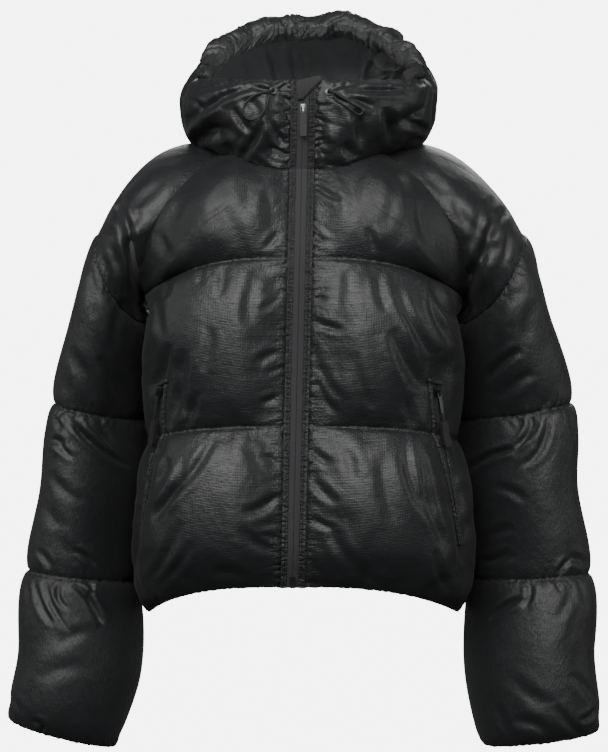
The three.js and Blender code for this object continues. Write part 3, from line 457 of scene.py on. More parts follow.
# a crease is wider and shallower than its row says, with a low bank along each side
crease_widen, crease_depth = 1.2, 0.85
bank_off, bank_width, bank_height = 1.9, 1.1, 0.4


def folded(grid, normals, rows, toward=-1):
    """Creases laid into the side that faces the front, or behind with toward=1. Each row has the two ends of
    a crease as pixels of the picture, how far its middle bends sideways in pixels, its half width and its
    depth in millimetres. A ridge has a negative depth."""
    depth = np.zeros(grid.shape[:2])
    facing = smooth(toward * normals[..., 1], 0.02, 0.3)
    place = grid[..., [0, 2]]
    for x1, y1, x2, y2, bend, half, deep in rows:
        a, b = picture(x1, y1), picture(x2, y2)
        run = b - a
        t = np.clip(((place - a) @ run) / (run @ run), 0, 1)
        side_way = np.array([-run[1], run[0]]) / np.linalg.norm(run)
        off = ((place - a) @ side_way - bend * pixel * 4 * t * (1 - t)) * 1000 / (half * crease_widen)
        trough = np.exp(-(off**2))
        banks = np.exp(-((np.abs(off) - bank_off) ** 2) / bank_width)
        depth += crease_depth * deep * np.sin(np.pi * t) ** 0.6 * (trough - bank_height * banks)
    return grid - normals * (depth * facing / 1000)[..., None]


def puckers(along, away, seed, pitch, reach, depth):
    """Depth of short gathers beside a line of stitches, unevenly spaced, slanted and long."""
    dice = np.random.default_rng(seed)
    low, high = along.min(), along.max()
    total = np.zeros(along.shape)
    at = low + pitch * dice.random()
    while at < high:
        long = reach * (0.35 + dice.random() ** 1.5 * 1.1)
        half = pitch * (0.16 + 0.2 * dice.random())
        slant = dice.normal() * 0.3
        strength = depth * (0.3 + 0.9 * dice.random())
        fade = np.clip(1 - np.abs(away) / long, 0, 1) ** 1.3
        total += strength * fade * np.exp(-(((along - at - slant * np.abs(away)) / half) ** 2))
        at += pitch * (0.55 + 0.9 * dice.random())
    return total


def finer(grid, closed=False):
    """The grid with twice as many points each way, on smooth curves through the old ones."""
    for axis in (0, 1):
        a = np.moveaxis(grid, axis, 0)
        if closed and axis == 1:
            spread = np.concatenate([a[-1:], a, a[:2]])
        else:
            spread = np.concatenate([2 * a[:1] - a[1:2], a, 2 * a[-1:] - a[-2:-1]])
        between = (9 * (spread[1:-2] + spread[2:-1]) - spread[:-3] - spread[3:]) / 16
        out = np.empty((len(a) + len(between), *a.shape[1:]))
        out[0::2] = a
        out[1::2] = between
        grid = np.moveaxis(out, 0, axis)
    return grid


def placed(name, points, faces, looks, flat=None, near=None):
    """A mesh piece on the jacket, with its cloth coordinates and how near a seam it lies."""
    mesh = bpy.data.meshes.new(name)
    mesh.from_pydata(points.tolist(), [], faces)
    for look in looks:
        mesh.materials.append(look)
    mesh.polygons.foreach_set("use_smooth", np.ones(len(mesh.polygons), bool))
    if flat is not None:
        corner = np.empty(len(mesh.loops), int)
        mesh.loops.foreach_get("vertex_index", corner)
        mesh.uv_layers.new(name="cloth").data.foreach_set("uv", flat[corner].reshape(-1))
    if near is not None:
        close = np.full(len(points), near, float)
        mesh.attributes.new("near_seam", "FLOAT", "POINT").data.foreach_set("value", close)
    made = added(name, mesh)
    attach(made, "jacket")
    return made


shells = {}


def padded_shell(node, outer, inner, out, lines, closed, flip, step=3):
    """One panel as a mesh: its outside, a rim, and a lining of every third point or as step says."""
    rows, columns = outer.shape[:2]
    points = [outer.reshape(-1, 3)]
    if closed:
        loops = [(np.arange(columns), True), ((rows - 1) * columns + np.arange(columns), False)]
    else:
        bottom = np.arange(columns)
        right = np.arange(1, rows) * columns + columns - 1
        top = (rows - 1) * columns + np.arange(columns - 2, -1, -1)
        left = np.arange(rows - 2, 0, -1) * columns
        loops = [(np.concatenate([bottom, right, top, left]), True)]
    faces = [grid_faces(rows, columns, closed)]
    # the weave follows the plain inside, so that wrinkles don't shear it
    cloth = grid_cloth(inner).reshape(-1, 2)
    flat = [cloth]
    start = rows * columns
    for loop, forward in loops:
        inside = start + np.arange(len(loop))
        points.append(inner.reshape(-1, 3)[loop])
        flat.append(cloth[loop])
        start += len(loop)
        quads = np.stack([loop, inside, np.roll(inside, -1), np.roll(loop, -1)], -1)
        faces.append(quads if forward else quads[:, ::-1])
    r = np.unique(np.append(np.arange(0, rows, step), rows - 1))
    c = np.arange(0, columns, step)
    c = c if closed else np.unique(np.append(c, columns - 1))
    lining = inner[np.ix_(r, c)]
    points.append(lining.reshape(-1, 3))
    flat.append(grid_cloth(lining).reshape(-1, 2))
    faces.append(grid_faces(len(r), len(c), closed)[:, ::-1] + start)
    lining_count = len(faces[-1])
    faces = np.concatenate(faces)[:, ::flip]
    points, flat = np.concatenate(points), np.concatenate(flat)
    near = np.zeros(len(points))
    near[: rows * columns] = near_lines(outer, lines).reshape(-1)
    made = placed("shell_" + node, points, faces.tolist(), [shell_cloth, lining_cloth], flat, near)
    kind = np.zeros(len(faces), int)
    kind[-lining_count:] = 1
    made.data.polygons.foreach_set("material_index", kind)
    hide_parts(node)
    shells[node] = (outer, finer(out, closed))


# pressure of the filling, frames that it takes, and how the ripples are eased
push, settling_frames = 3, 26
ease_share, form_passes = 0.55, 70
# share of the padding's height at the start, and what a full place adds to it
start_low, start_rise = 0.72, 0.28


def eased(grid, held, closed, passes):
    """The settled grid without its finest ripples."""
    for _ in range(passes):
        beside = (np.roll(grid, 1, 1) + np.roll(grid, -1, 1)) / 2
        if not closed:
            beside[:, [0, -1]] = grid[:, [0, -1]]
        mean = grid.copy()
        mean[1:-1] = (beside[1:-1] * 2 + grid[2:] + grid[:-2]) / 4
        grid = grid + (mean - grid) * (ease_share * (1 - held))[..., None]
    return grid


def in_form(grid, form, out, held, closed):
    """The settled grid with its creases, but with the panel's own form: its broad departure is taken back."""
    broad = ((grid - form) * out).sum(-1)
    for _ in range(form_passes):
        beside = (np.roll(broad, 1, 1) + np.roll(broad, -1, 1)) / 2
        if not closed:
            beside[:, 0], beside[:, -1] = broad[:, 1], broad[:, -2]
        above = np.concatenate([broad[1:2], broad[:-1]])
        below = np.concatenate([broad[1:], broad[-2:-1]])
        broad = (2 * beside + above + below) / 4 * (held < 0.5)
    return grid - out * broad[..., None]


def sewn(
    base, out, puff, held, closed, mirror, folds, hidden, seams, seed, full=0.0, grow=0.06, passes=3, keep=1.0
):
    """Outside of a panel: settled between its seams, made finer, creased along the listed lines and puckered
    at its seams.
    folds are the creases in front and hidden those behind. full is 1 where the padding has its whole height
    from the start, and keep is how much of the settled wrinkles stays. Each seam is a row or a column of the
    grid, with the pitch, reach and depth of its puckers."""
    form = base + out * (wall + puff)[..., None]
    start = base + out * (wall + (start_low + start_rise * full) * puff)[..., None]
    start = settle(start, held, closed, grow, push * mirror, settling_frames)
    start = eased(start, held, closed, passes)
    start = form + (in_form(start, form, out, held, closed) - form) * keep
    outer = finer(start, closed)
    normals = finer(out, closed)
    cloth = grid_cloth(outer)
    depth = np.zeros(outer.shape[:2])
    for number, (way, index, pitch, reach, deep) in enumerate(seams):
        line = cloth[2 * index] if way == "row" else cloth[:, 2 * index]
        if way == "row":
            along, away = cloth[..., 0] - line[..., 0].mean(), cloth[..., 1] - line[None, :, 1]
        else:
            along, away = cloth[..., 1] - line[..., 1].mean(), cloth[..., 0] - line[:, None, 0]
        for part in (1, -1):
            one_side = np.where(away * part >= 0, away, 1.0)
            depth += puckers(along, one_side, seed + 10 * number + part, pitch, reach, deep)
    outer = outer - normals * depth[..., None]
    return folded(folded(outer, normals, folds), normals, hidden, 1)


pocket_line = {"left": (0.57, 0.74), "right": (0.54, 0.68)}
pocket_levels = (0.42, 1.32)


def pocket_off(name, across, level):
    """Distance across the panel from the pocket's zip, and 1 along the zip, falling to 0 past its ends."""
    low, high = pocket_levels
    top, bottom = pocket_line[name]
    off = across - (top + (bottom - top) * (level - high) / (low - high))
    return off, smooth(level, low - 0.25, low) * (1 - smooth(level, high, high + 0.25))


side = {"left": -1, "right": 1}
low_channel = np.linspace(0, 1, 43)[:-1]
torso_levels = np.concatenate([low_channel, 1 + low_channel, 2 + np.linspace(0, 1, 29)])
torso_seams = [0, 42, 84, len(torso_levels) - 1]
front_columns, back_columns = 46, 93
front_folds = {
    "left": [
        # x, y to x, y in the picture, bend, half width and depth in millimetres
        (187, 350, 172, 428, 3, 5, 6), (172, 344, 161, 386, 2, 4, 4), (200, 392, 189, 426, 1, 3.5, 4),
        (215, 330, 205, 372, 2, 5, 2.5), (258, 272, 250, 330, -3, 6, 2.5), (226, 268, 222, 300, 1, 4, 2.5),
        (140, 290, 152, 318, -3, 4, 5), (205, 264, 203, 288, 0, 3, 2.5), (172, 272, 168, 300, 1, 3.5, 3),
        (160, 292, 166, 340, -2, 5, 3), (279, 300, 262, 312, 1, 3, 3), (280, 352, 258, 366, -2, 4, 3.5),
        (279, 395, 262, 402, 1, 3, 3), (218, 434, 161, 505, 5, 4, 5), (190, 458, 157, 517, 3, 4, 5),
        (171, 455, 161, 480, 2, 4, 5), (184, 516, 150, 580, 4, 4.5, 3.5), (196, 536, 160, 582, 3, 4, 3),
        (277, 494, 246, 508, 3, 4.5, 5), (264, 452, 279, 464, 1, 3, 4), (242, 522, 276, 545, -4, 5, 3.5),
        (281, 533, 262, 528, 1, 3, 3.5), (216, 566, 250, 574, 4, 5, 3), (246, 442, 262, 470, 2, 5, 2),
        (217, 206, 240, 250, 5, 7, 1.2), (262, 190, 272, 236, 3, 5, 1.2), (240, 182, 250, 214, 3, 6, 1),
        (186, 190, 168, 232, 3, 5, 1.6), (160, 232, 176, 262, -2, 4.5, 3.5), (278, 236, 266, 252, 1, 3, 3),
    ],
    "right": [
        (391, 330, 421, 390, -4, 6, 6.5), (395, 292, 429, 356, -3, 4, 4), (428, 280, 455, 322, -4, 5, 5.5),
        (424, 292, 448, 346, -3, 4, 4), (309, 340, 337, 399, -3, 4, 4.5), (309, 360, 334, 412, -3, 3.5, 4.5),
        (309, 320, 343, 333, -1, 3, 3.5), (309, 298, 328, 304, 0, 2.5, 3), (338, 270, 334, 318, 2, 5, 2.5),
        (376, 276, 384, 314, -2, 4.5, 3), (352, 352, 368, 408, -3, 6, 2.5), (405, 400, 412, 428, -1, 4, 4),
        (313, 188, 340, 204, -2, 3, 3), (311, 231, 324, 249, -1, 3, 3), (352, 186, 346, 236, 3, 6, 1.2),
        (392, 180, 380, 236, 4, 6, 1.5), (416, 208, 428, 252, -3, 5, 3.5), (366, 232, 372, 256, 1, 4, 2.5),
        (309, 446, 330, 462, -1, 3.5, 4.5), (309, 470, 336, 500, -2, 4, 4.5), (309, 512, 332, 524, -1, 3, 4),
        (330, 520, 352, 560, -3, 5, 3.5), (309, 545, 322, 572, -2, 3, 3.5), (402, 440, 428, 516, -6, 5, 5),
        (418, 452, 440, 540, -4, 4, 4), (378, 452, 392, 520, -3, 6, 2.5), (432, 545, 446, 588, -3, 4, 4),
        (356, 560, 384, 582, -2, 5, 3), (345, 446, 352, 478, 1, 5, 2.5),
    ],
}
back_folds = [
    # as for the fronts, seen through the jacket
    (180, 300, 196, 372, 4, 5, 5), (160, 350, 178, 420, -3, 5, 4), (214, 272, 206, 330, 2, 4, 3),
    (246, 266, 250, 304, -2, 4, 3), (300, 268, 296, 340, 3, 5, 2.5), (342, 270, 352, 318, -2, 4, 3),
    (392, 276, 384, 344, 3, 5, 4), (430, 300, 416, 380, 4, 5, 5), (444, 350, 428, 410, -3, 4, 4),
    (270, 352, 262, 412, -3, 6, 2.5), (330, 360, 338, 420, 3, 5, 3), (190, 440, 206, 520, 4, 5, 4.5),
    (160, 470, 178, 560, -4, 4, 4), (236, 436, 230, 480, 1, 4, 3), (286, 438, 292, 500, -2, 5, 3),
    (352, 440, 344, 492, 2, 4, 3), (404, 444, 388, 530, -5, 5, 4.5), (440, 460, 424, 560, 4, 4, 4),
    (250, 530, 262, 580, 2, 5, 3), (318, 540, 310, 590, -2, 4, 3), (372, 530, 366, 580, 2, 5, 3),
    (200, 210, 214, 256, 3, 6, 2), (300, 190, 304, 236, 2, 7, 1.5), (388, 206, 376, 258, -3, 6, 2),
]
quilt_pucker = (0.0075, 0.02, 0.0026)
seam_pucker = (0.014, 0.014, 0.0008)
zip_pucker = (0.0085, 0.024, 0.0030)
seams = [("row", i, *quilt_pucker) for i in torso_seams[:3]] + [("row", torso_seams[3], *seam_pucker)]
for name, mirror in side.items():
    level, across = np.meshgrid(torso_levels, np.linspace(0, 1, front_columns), indexing="ij")
    base = torso_points("front", across, level)
    lean = zip_x(base[..., 2]) * (1 - smooth(across, 0, 0.9))
    base[..., 0] = mirror * base[..., 0] + lean
    base /= 1000
    out = grid_normals(base) * mirror
    off, beside = pocket_off(name, across, level)
    puff = torso_puff("front", across, level) * (1 - 0.8 * np.exp(-((off / 0.07) ** 2) / 2) * beside)
    at_pocket = beside * (1 - smooth(np.abs(off), 0.03, 0.075))
    lines = held_lines(level.shape, torso_seams)
    held = np.maximum(lines, at_pocket > 0.5)
    rows = seams + [("column", 0, *zip_pucker), ("column", front_columns - 1, *seam_pucker)]
    # the yoke keeps fewer of its wrinkles than the channels below
    keep = (0.75 - 0.35 * smooth(level, 1.7, 2.1))[..., None]
    folds = front_folds[name]
    puff /= 1000
    outer = sewn(base, out, puff, held, False, mirror, folds, [], rows, 40 + mirror, at_pocket, 0.06, 4, keep)
    padded_shell("front_" + name, outer, finer(base), out, lines, False, mirror)
level, across = np.meshgrid(torso_levels, np.linspace(-1, 1, back_columns), indexing="ij")
base = torso_points("back", np.abs(across), level)
base[..., 0] *= np.sign(across)
base /= 1000
out = -grid_normals(base)
held = held_lines(level.shape, torso_seams)
puff = torso_puff("back", np.abs(across), level) / 1000
sides = [("column", 0, *seam_pucker), ("column", back_columns - 1, *seam_pucker)]
outer = sewn(base, out, puff, held, False, -1, [], back_folds, seams + sides, 70, 0.0, 0.06, 4, 0.6)
padded_shell("back", outer, finer(base), out, held, False, -1)

# Sleeves: raglan sleeves in four padded channels, widest at the elbow and drawn in a little at the cuff. They
# hang nearly straight and turn forward round the body, with deep creases where they leave the armhole.
sleeve_rings = {
    # ring, outer x, outer z, inner x, inner z, middle y, depth, twist in degrees
    "right": np.array([
        (0.0, 108, 3, 187, -174, 0, 90, 0),
        (0.35, 160, -5, 203, -180, 4, 92, 0),
        (0.7, 216, -34, 206, -188, 10, 92, 4),
        (1.0, 255, -97, 205, -202, 15, 90, 9),
        (1.5, 275, -195, 205, -248, 22, 88, 15),
        (2.0, 314, -297, 205, -318, 25, 84, 18),
        (2.5, 309, -396, 207, -410, 22, 80, 18),
        (3.0, 338, -499, 208, -508, 14, 76, 16),
        (3.5, 333, -598, 207, -610, 4, 72, 12),
        (3.85, 342, -664, 214, -680, -4, 66, 8),
        (4.0, 346, -686, 219, -704, -6, 52, 8),
    ]),
    "left": np.array([
        (0.0, 108, 3, 187, -174, 0, 90, 0),
        (0.35, 157, -5, 203, -180, 4, 92, 0),
        (0.7, 208, -35, 206, -188, 10, 92, 4),
        (1.0, 238, -97, 205, -202, 15, 90, 9),
        (1.5, 257, -195, 205, -248, 22, 88, 15),
        (2.0, 291, -297, 206, -318, 25, 84, 18),
        (2.5, 296, -396, 207, -410, 22, 80, 18),
        (3.0, 327, -495, 207, -510, 14, 76, 16),
        (3.5, 327, -594, 207, -612, 4, 72, 12),
        (3.85, 338, -648, 222, -682, -4, 66, 8),
        (4.0, 345, -672, 225, -705, -6, 52, 8),
    ]),
}
sleeve_puffs = (9, 13, 13, 13)
first_section = 0.36
raglan_angles = (61.6, 129)


def neck(degrees):
    a = np.radians(degrees)
    c = np.cos(a)
    ahead = c > 0
    z = np.where(ahead, 3 - 30 * np.abs(c) ** 1.5, 3 + 7 * np.abs(c))
    return np.stack([108 * np.sin(a), np.where(ahead, -98 * c, -78 * c), z], -1)


def armhole(degrees):
    turn = np.mod(degrees, 360.0)
    share = np.where(turn < 180, turn, turn - 360) / 30
    low, high = raglan_angles
    by_neck = neck((low + high) / 2 - share * (high - low) / 2)
    ahead = turn <= 180
    level = 3 - np.where(ahead, turn - 30, 330 - turn) / 150
    by_front = panel_edge("front", np.clip(level, 2, 3))[0]
    by_back = panel_edge("back", np.clip(level, 2, 3))[0]
    at_neck = (turn < 30) | (turn > 330)
    return np.where(at_neck[..., None], by_neck, np.where(ahead[..., None], by_front, by_back))


def sleeve_points(name, degrees, ring):
    section = np.where(ring >= 1, ring, first_section + (1 - first_section) * ring)
    v = through(sleeve_rings[name], section)
    ox, oz, ix, iz, my, depth = (v[..., k] for k in range(6))
    twist = np.radians(v[..., 6])
    c, s = np.cos(np.radians(degrees)), np.sin(np.radians(degrees))
    x = (ox + ix) / 2 + (ox - ix) / 2 * c + depth * s * np.sin(twist)
    y = my - depth * s * np.cos(twist)
    z = (oz + iz) / 2 + (oz - iz) / 2 * c
    ringed = np.stack([x, y, z], -1)
    mix = np.where(ring >= 1, 1.0, smooth(ring, 0, 1) * 0.4 + ring * 0.6)[..., None]
    return armhole(degrees) * (1 - mix) + ringed * mix


def sleeve_puff(degrees, ring):
    step = np.minimum(np.floor(ring), 3).astype(int)
    inside = (1 - np.cos(np.radians(degrees))) / 2
    shy = 1 - 0.3 * inside**2 * np.where(ring < 3, 1.0, 1 - (ring - 3))
    seam = np.where(ring < 1, smooth(ring, 0, 0.25 + 0.7 * inside), 1.0)
    under_hood = 1 - 0.75 * (1 - inside) ** 2 * (1 - smooth(ring, 0.2, 0.6))
    return np.array(sleeve_puffs)[step] * channel(ring - step, 0.85) * shy * seam * under_hood


sleeve_folds = {
    "left": [
        # as for the fronts: ends in the picture, bend, half width and depth
        (116, 192, 138, 288, 5, 4.5, 8), (130, 236, 141, 300, 2, 5, 6), (103, 229, 118, 236, 1, 3, 3.5),
        (112, 246, 130, 300, 3, 4.5, 4), (98, 244, 116, 306, 4, 5, 3.5), (88, 262, 96, 320, 3, 6, 2),
        (126, 300, 118, 350, -3, 5, 3), (70, 348, 96, 400, 4, 6, 2.5), (102, 356, 122, 404, 3, 5, 3.5),
        (66, 411, 133, 467, -6, 3, 6), (78, 408, 96, 442, -5, 3, 4), (56, 416, 64, 430, 0, 2.5, 3),
        (100, 416, 132, 462, -5, 3.5, 4), (54, 438, 66, 448, 2, 4, 4.5), (62, 445, 76, 458, 0, 2.5, 3.5),
        (52, 470, 86, 500, -4, 5, 1.8), (44, 500, 70, 528, -3, 6, 1.6), (76, 548, 97, 564, 2, 2.5, 4.5),
        (40, 548, 54, 566, 1, 3, 2.5), (58, 530, 84, 560, -3, 6, 1.6), (36, 576, 58, 622, -4, 3, 4),
        (46, 577, 72, 628, -3, 2.8, 3.5), (62, 580, 70, 606, -5, 2.5, 4.5), (76, 582, 104, 624, 5, 2.8, 5),
        (90, 592, 106, 622, -2, 2.5, 4), (88, 580, 94, 592, 3, 2.5, 4), (28, 578, 32, 600, 0, 2.5, 2.5),
        (60, 640, 104, 628, 4, 5, 1.6), (40, 676, 92, 662, 5, 7, 1.6), (34, 716, 48, 728, 3, 3, 4),
        (42, 728, 48, 722, 0, 2, 3), (14, 696, 26, 712, 1, 4, 2), (168, 176, 136, 206, 3, 6, 2.5),
        (142, 214, 128, 236, 2, 5, 3),
    ],
    "right": [
        (504, 210, 476, 266, -4, 4.5, 7), (492, 244, 462, 300, -4, 6, 8), (507, 228, 500, 264, 1, 3, 4),
        (481, 203, 474, 262, -3, 4, 3.5), (492, 198, 488, 238, -2, 4, 3), (518, 350, 486, 380, -3, 4, 5),
        (530, 372, 498, 400, -3, 5, 4), (512, 290, 488, 340, -4, 6, 2.5), (534, 300, 520, 352, -3, 6, 2),
        (466, 300, 474, 360, 3, 5, 3), (530, 408, 512, 448, 6, 2.8, 6), (512, 448, 469, 470, -4, 3, 6),
        (536, 408, 526, 440, 3, 2.8, 4), (545, 418, 520, 466, 7, 3.5, 4.5), (552, 404, 548, 420, 0, 2.5, 2.5),
        (566, 408, 574, 440, 1, 3, 2.5), (492, 486, 524, 500, 3, 4, 2), (488, 538, 512, 526, 2, 4, 3),
        (482, 562, 508, 548, -2, 3, 5), (494, 566, 514, 554, 2, 3.5, 3), (556, 572, 566, 558, 1, 2.5, 4),
        (564, 556, 588, 566, 3, 4, 3), (528, 580, 520, 606, 3, 3, 4), (520, 596, 488, 620, -3, 3, 5.5),
        (552, 577, 558, 590, 0, 2, 3.5), (540, 577, 543, 586, 0, 2, 3), (568, 584, 554, 616, 3, 4.5, 2.5),
        (576, 578, 584, 606, 1, 3, 2.5), (574, 588, 566, 640, 3, 5, 1.8), (506, 670, 550, 700, -5, 6, 1.8),
        (552, 700, 584, 734, -3, 4, 3), (576, 716, 594, 706, -3, 3, 4.5), (566, 670, 592, 700, 3, 4, 2.2),
        (512, 716, 548, 732, 5, 5, 3), (496, 700, 512, 738, -2, 4, 2.5), (420, 168, 446, 196, -3, 6, 2.5),
        (452, 202, 474, 236, -3, 5, 3),
    ],
}
# the hidden side of each sleeve has creases like those of the other sleeve's front
sleeve_behind = {
    name: [
        (2 * middle_x - x1, y1, 2 * middle_x - x2, y2, -bend, half, deep)
        for x1, y1, x2, y2, bend, half, deep in sleeve_folds[other]
    ]
    for name, other in (("left", "right"), ("right", "left"))
}
ring_rows = np.concatenate([k + np.linspace(0, 1, 41)[: 41 if k == 3 else -1] for k in range(4)])
ring_seams = [0, 40, 80, 120, 160]
sleeve_seams = [("row", 0, *seam_pucker)] + [("row", i, *quilt_pucker) for i in ring_seams[1:]]
slimmer = {"left": 0.0085, "right": 0.0058}
for name, mirror in side.items():
    ring, turn = np.meshgrid(ring_rows, np.linspace(0, 360, 97)[:-1], indexing="ij")
    base = sleeve_points(name, turn, ring) / 1000
    outer_side = 0.5 + 0.5 * np.cos(np.radians(turn))
    slim = slimmer[name] * smooth(ring, 0.85, 1.4) * (1 - smooth(ring, 3.4, 3.95))
    base[..., 0] -= slim * outer_side
    base[..., 2] += 0.006 * outer_side**2 * smooth(ring, 0.1, 0.4) * (1 - smooth(ring, 0.6, 1))
    base[..., 0] *= mirror
    out = grid_normals(base, True) * mirror
    held = held_lines(ring.shape, ring_seams, False)
    crowd = (0.5 - 0.5 * np.cos(np.radians(turn))) ** 3 * smooth(ring, 0.5, 1) * (1 - smooth(ring, 2.3, 2.9))
    puff = sleeve_puff(turn, ring) / 1000 + crowd * (0.010 + 0.009 * np.exp(-(((ring - 1.1) / 0.3) ** 2)))
    folds, hidden = sleeve_folds[name], sleeve_behind[name]
    seed = 90 + mirror
    outer = sewn(base, out, puff, held, True, mirror, folds, hidden, sleeve_seams, seed, crowd, 0.05, 6, 0.55)
    padded_shell("sleeve_" + name, outer, finer(base, True), out, held, True, mirror)

# Hood: two padded halves sewn together behind. Their front parts are the stand-up collar, pulled into deep
# folds by the drawcord. The plainer lining shows inside, with its own seams and a folded flap on the right.
hood_swing = np.array([
    # degrees round the neck, swing out at the neck, swing out at the edge, how steeply it starts
    (0, 10, 8, 0.36),
    (45, 26, 18, 0.37),
    (90, 45, 12, 0.27),
    (135, 60, 50, 0.3),
    (180, 84, 104, 0.36),
])


hood_dip = 0.18


def hood_edge(degrees, mirror):
    """Upper edge of the hood in millimetres: the collar's top in front, the brim's seam above and behind."""
    s, c = np.sin(np.radians(degrees)), np.cos(np.radians(degrees))
    front = np.maximum(c, 0)
    z = np.where(c > 0, 82 - 8 * c, 82 + 62 * np.abs(c) ** 0.95)
    at_zip = (zip_x(z) + mirror * closure * 1000) * front**8
    return np.stack([mirror * 130 * s + 11 * (1 - front) + at_zip, -33 - 77 * c, z], -1)


def hood_points(base, degrees, mirror, rise):
    edge = hood_edge(degrees, mirror)
    low, high, steep = np.moveaxis(through(hood_swing, degrees), -1, 0)[..., None]
    angle = np.radians(degrees)
    away = np.stack([mirror * np.sin(angle), -np.cos(angle), np.zeros(angle.shape)], -1)
    up = np.array([0, 0, 1.0]) * (edge[..., 2] - base[..., 2])[..., None]
    first = base + away * low + up * steep
    second = edge + away * high - up * hood_dip
    return bezier(base, first, second, edge, rise[..., None])


def lengths(line):
    """How far along a line each of its points lies."""
    return np.concatenate([[0], np.cumsum(np.linalg.norm(np.diff(line, axis=0), axis=1))])


def at_lengths(at, reach, rows):
    """Points or vectors of a line at these distances along it."""
    return np.stack([np.interp(at, reach, rows[:, k]) for k in range(3)], -1)


def neck_ring(mirror, count):
    """The neck seam of one half, from the zip round to the middle of the back, evenly spaced."""
    across = np.linspace(0, 1, 60)
    front = torso_points("front", across, np.full(60, 3.0))
    front[:, 0] = mirror * front[:, 0] + zip_x(front[:, 2]) * (1 - smooth(across, 0, 0.9))
    shoulder = armhole(np.array([15.0, 0.0, 345.0]))
    back = torso_points("back", across[::-1], np.full(60, 3.0))
    for part in (shoulder, back):
        part[:, 0] *= mirror
    ring = np.concatenate([front, shoulder, back])
    reach = lengths(ring)
    return at_lengths(np.linspace(0, reach[-1], count), reach, ring)


hood_folds = {
    "left": [
        (186, 143, 224, 114, 4, 4.5, -5), (190, 146, 236, 137, 7, 6, 9), (209, 114, 254, 95, 4, 3.5, 5),
        (212, 139, 254, 170, -5, 4, -4), (264, 128, 242, 162, 2, 3.5, 6), (270, 124, 284, 151, -1, 3.5, 5),
        (280, 100, 293, 118, 1, 2.5, 4), (280, 110, 292, 128, 1, 2.5, 4), (268, 151, 291, 163, -1, 3.5, 5),
        (256, 158, 289, 177, -1, 3, -3), (197, 90, 240, 88, -2, 3.5, 3.5), (236, 114, 252, 138, -2, 3, 5),
        (276, 98, 250, 92, 1, 2.5, 3.5), (192, 100, 208, 115, -1, 2.5, 3), (246, 104, 262, 126, 2, 5, 3),
        (288, 92, 280, 98, 0, 2.5, 3), (188, 118, 204, 128, 1, 4, 3), (226, 146, 236, 160, 1, 3.5, 4),
    ],
    "right": [
        (313, 110, 319, 173, -4, 5, -5), (326, 118, 330, 168, 2, 6, -3), (354, 116, 359, 154, 2, 4, 6),
        (384, 113, 391, 149, 2, 4.5, 7), (392, 128, 434, 136, 5, 3.5, 5), (394, 123, 424, 110, -3, 3.5, 5),
        (344, 148, 356, 162, -2, 5, 6), (366, 171, 398, 150, -3, 3, -3), (327, 98, 358, 91, 2, 2.5, 4),
        (346, 97, 404, 95, -1, 3, 4.5), (350, 104, 372, 114, 0, 3, 4), (372, 118, 374, 146, 2, 6, -3.5),
        (404, 90, 424, 84, -1, 3, 3.5), (311, 100, 316, 126, 1, 2.5, 4), (332, 104, 346, 112, 1, 2.5, 3),
        (404, 146, 428, 141, 2, 4, 4.5), (312, 150, 322, 160, 1, 2.5, 3.5),
    ],
}
lining_folds = {
    "left": [
        # two lining seams and the soft folds beside them
        (266, 38, 279, 86, 1, 2.2, 7), (290, 38, 297, 88, 1, 2.2, 7), (274, 44, 288, 80, -2, 4, 5),
        (244, 52, 258, 78, 2, 5, 3), (296, 42, 306, 52, 1, 2.5, 3),
    ],
    "right": [
        # the flap on the right is a raised loop of cloth
        (370, 86, 373, 44, 5, 3, -12), (372, 46, 404, 62, -5, 3, -12), (404, 60, 394, 84, -3, 3, -10),
        (374, 84, 392, 66, 3, 3, -10), (382, 58, 386, 82, 1, 4, 8), (318, 44, 330, 78, -3, 7, 2.5),
        (346, 42, 352, 80, 2, 7, 2.5),
    ],
}
cord_places = np.concatenate([np.array(route) for route in cord_routes.values()]) / 1000
hood_rises = np.linspace(0, 1, 43)
hood_columns = 76
hood_droop = {"left": 8, "right": 16}
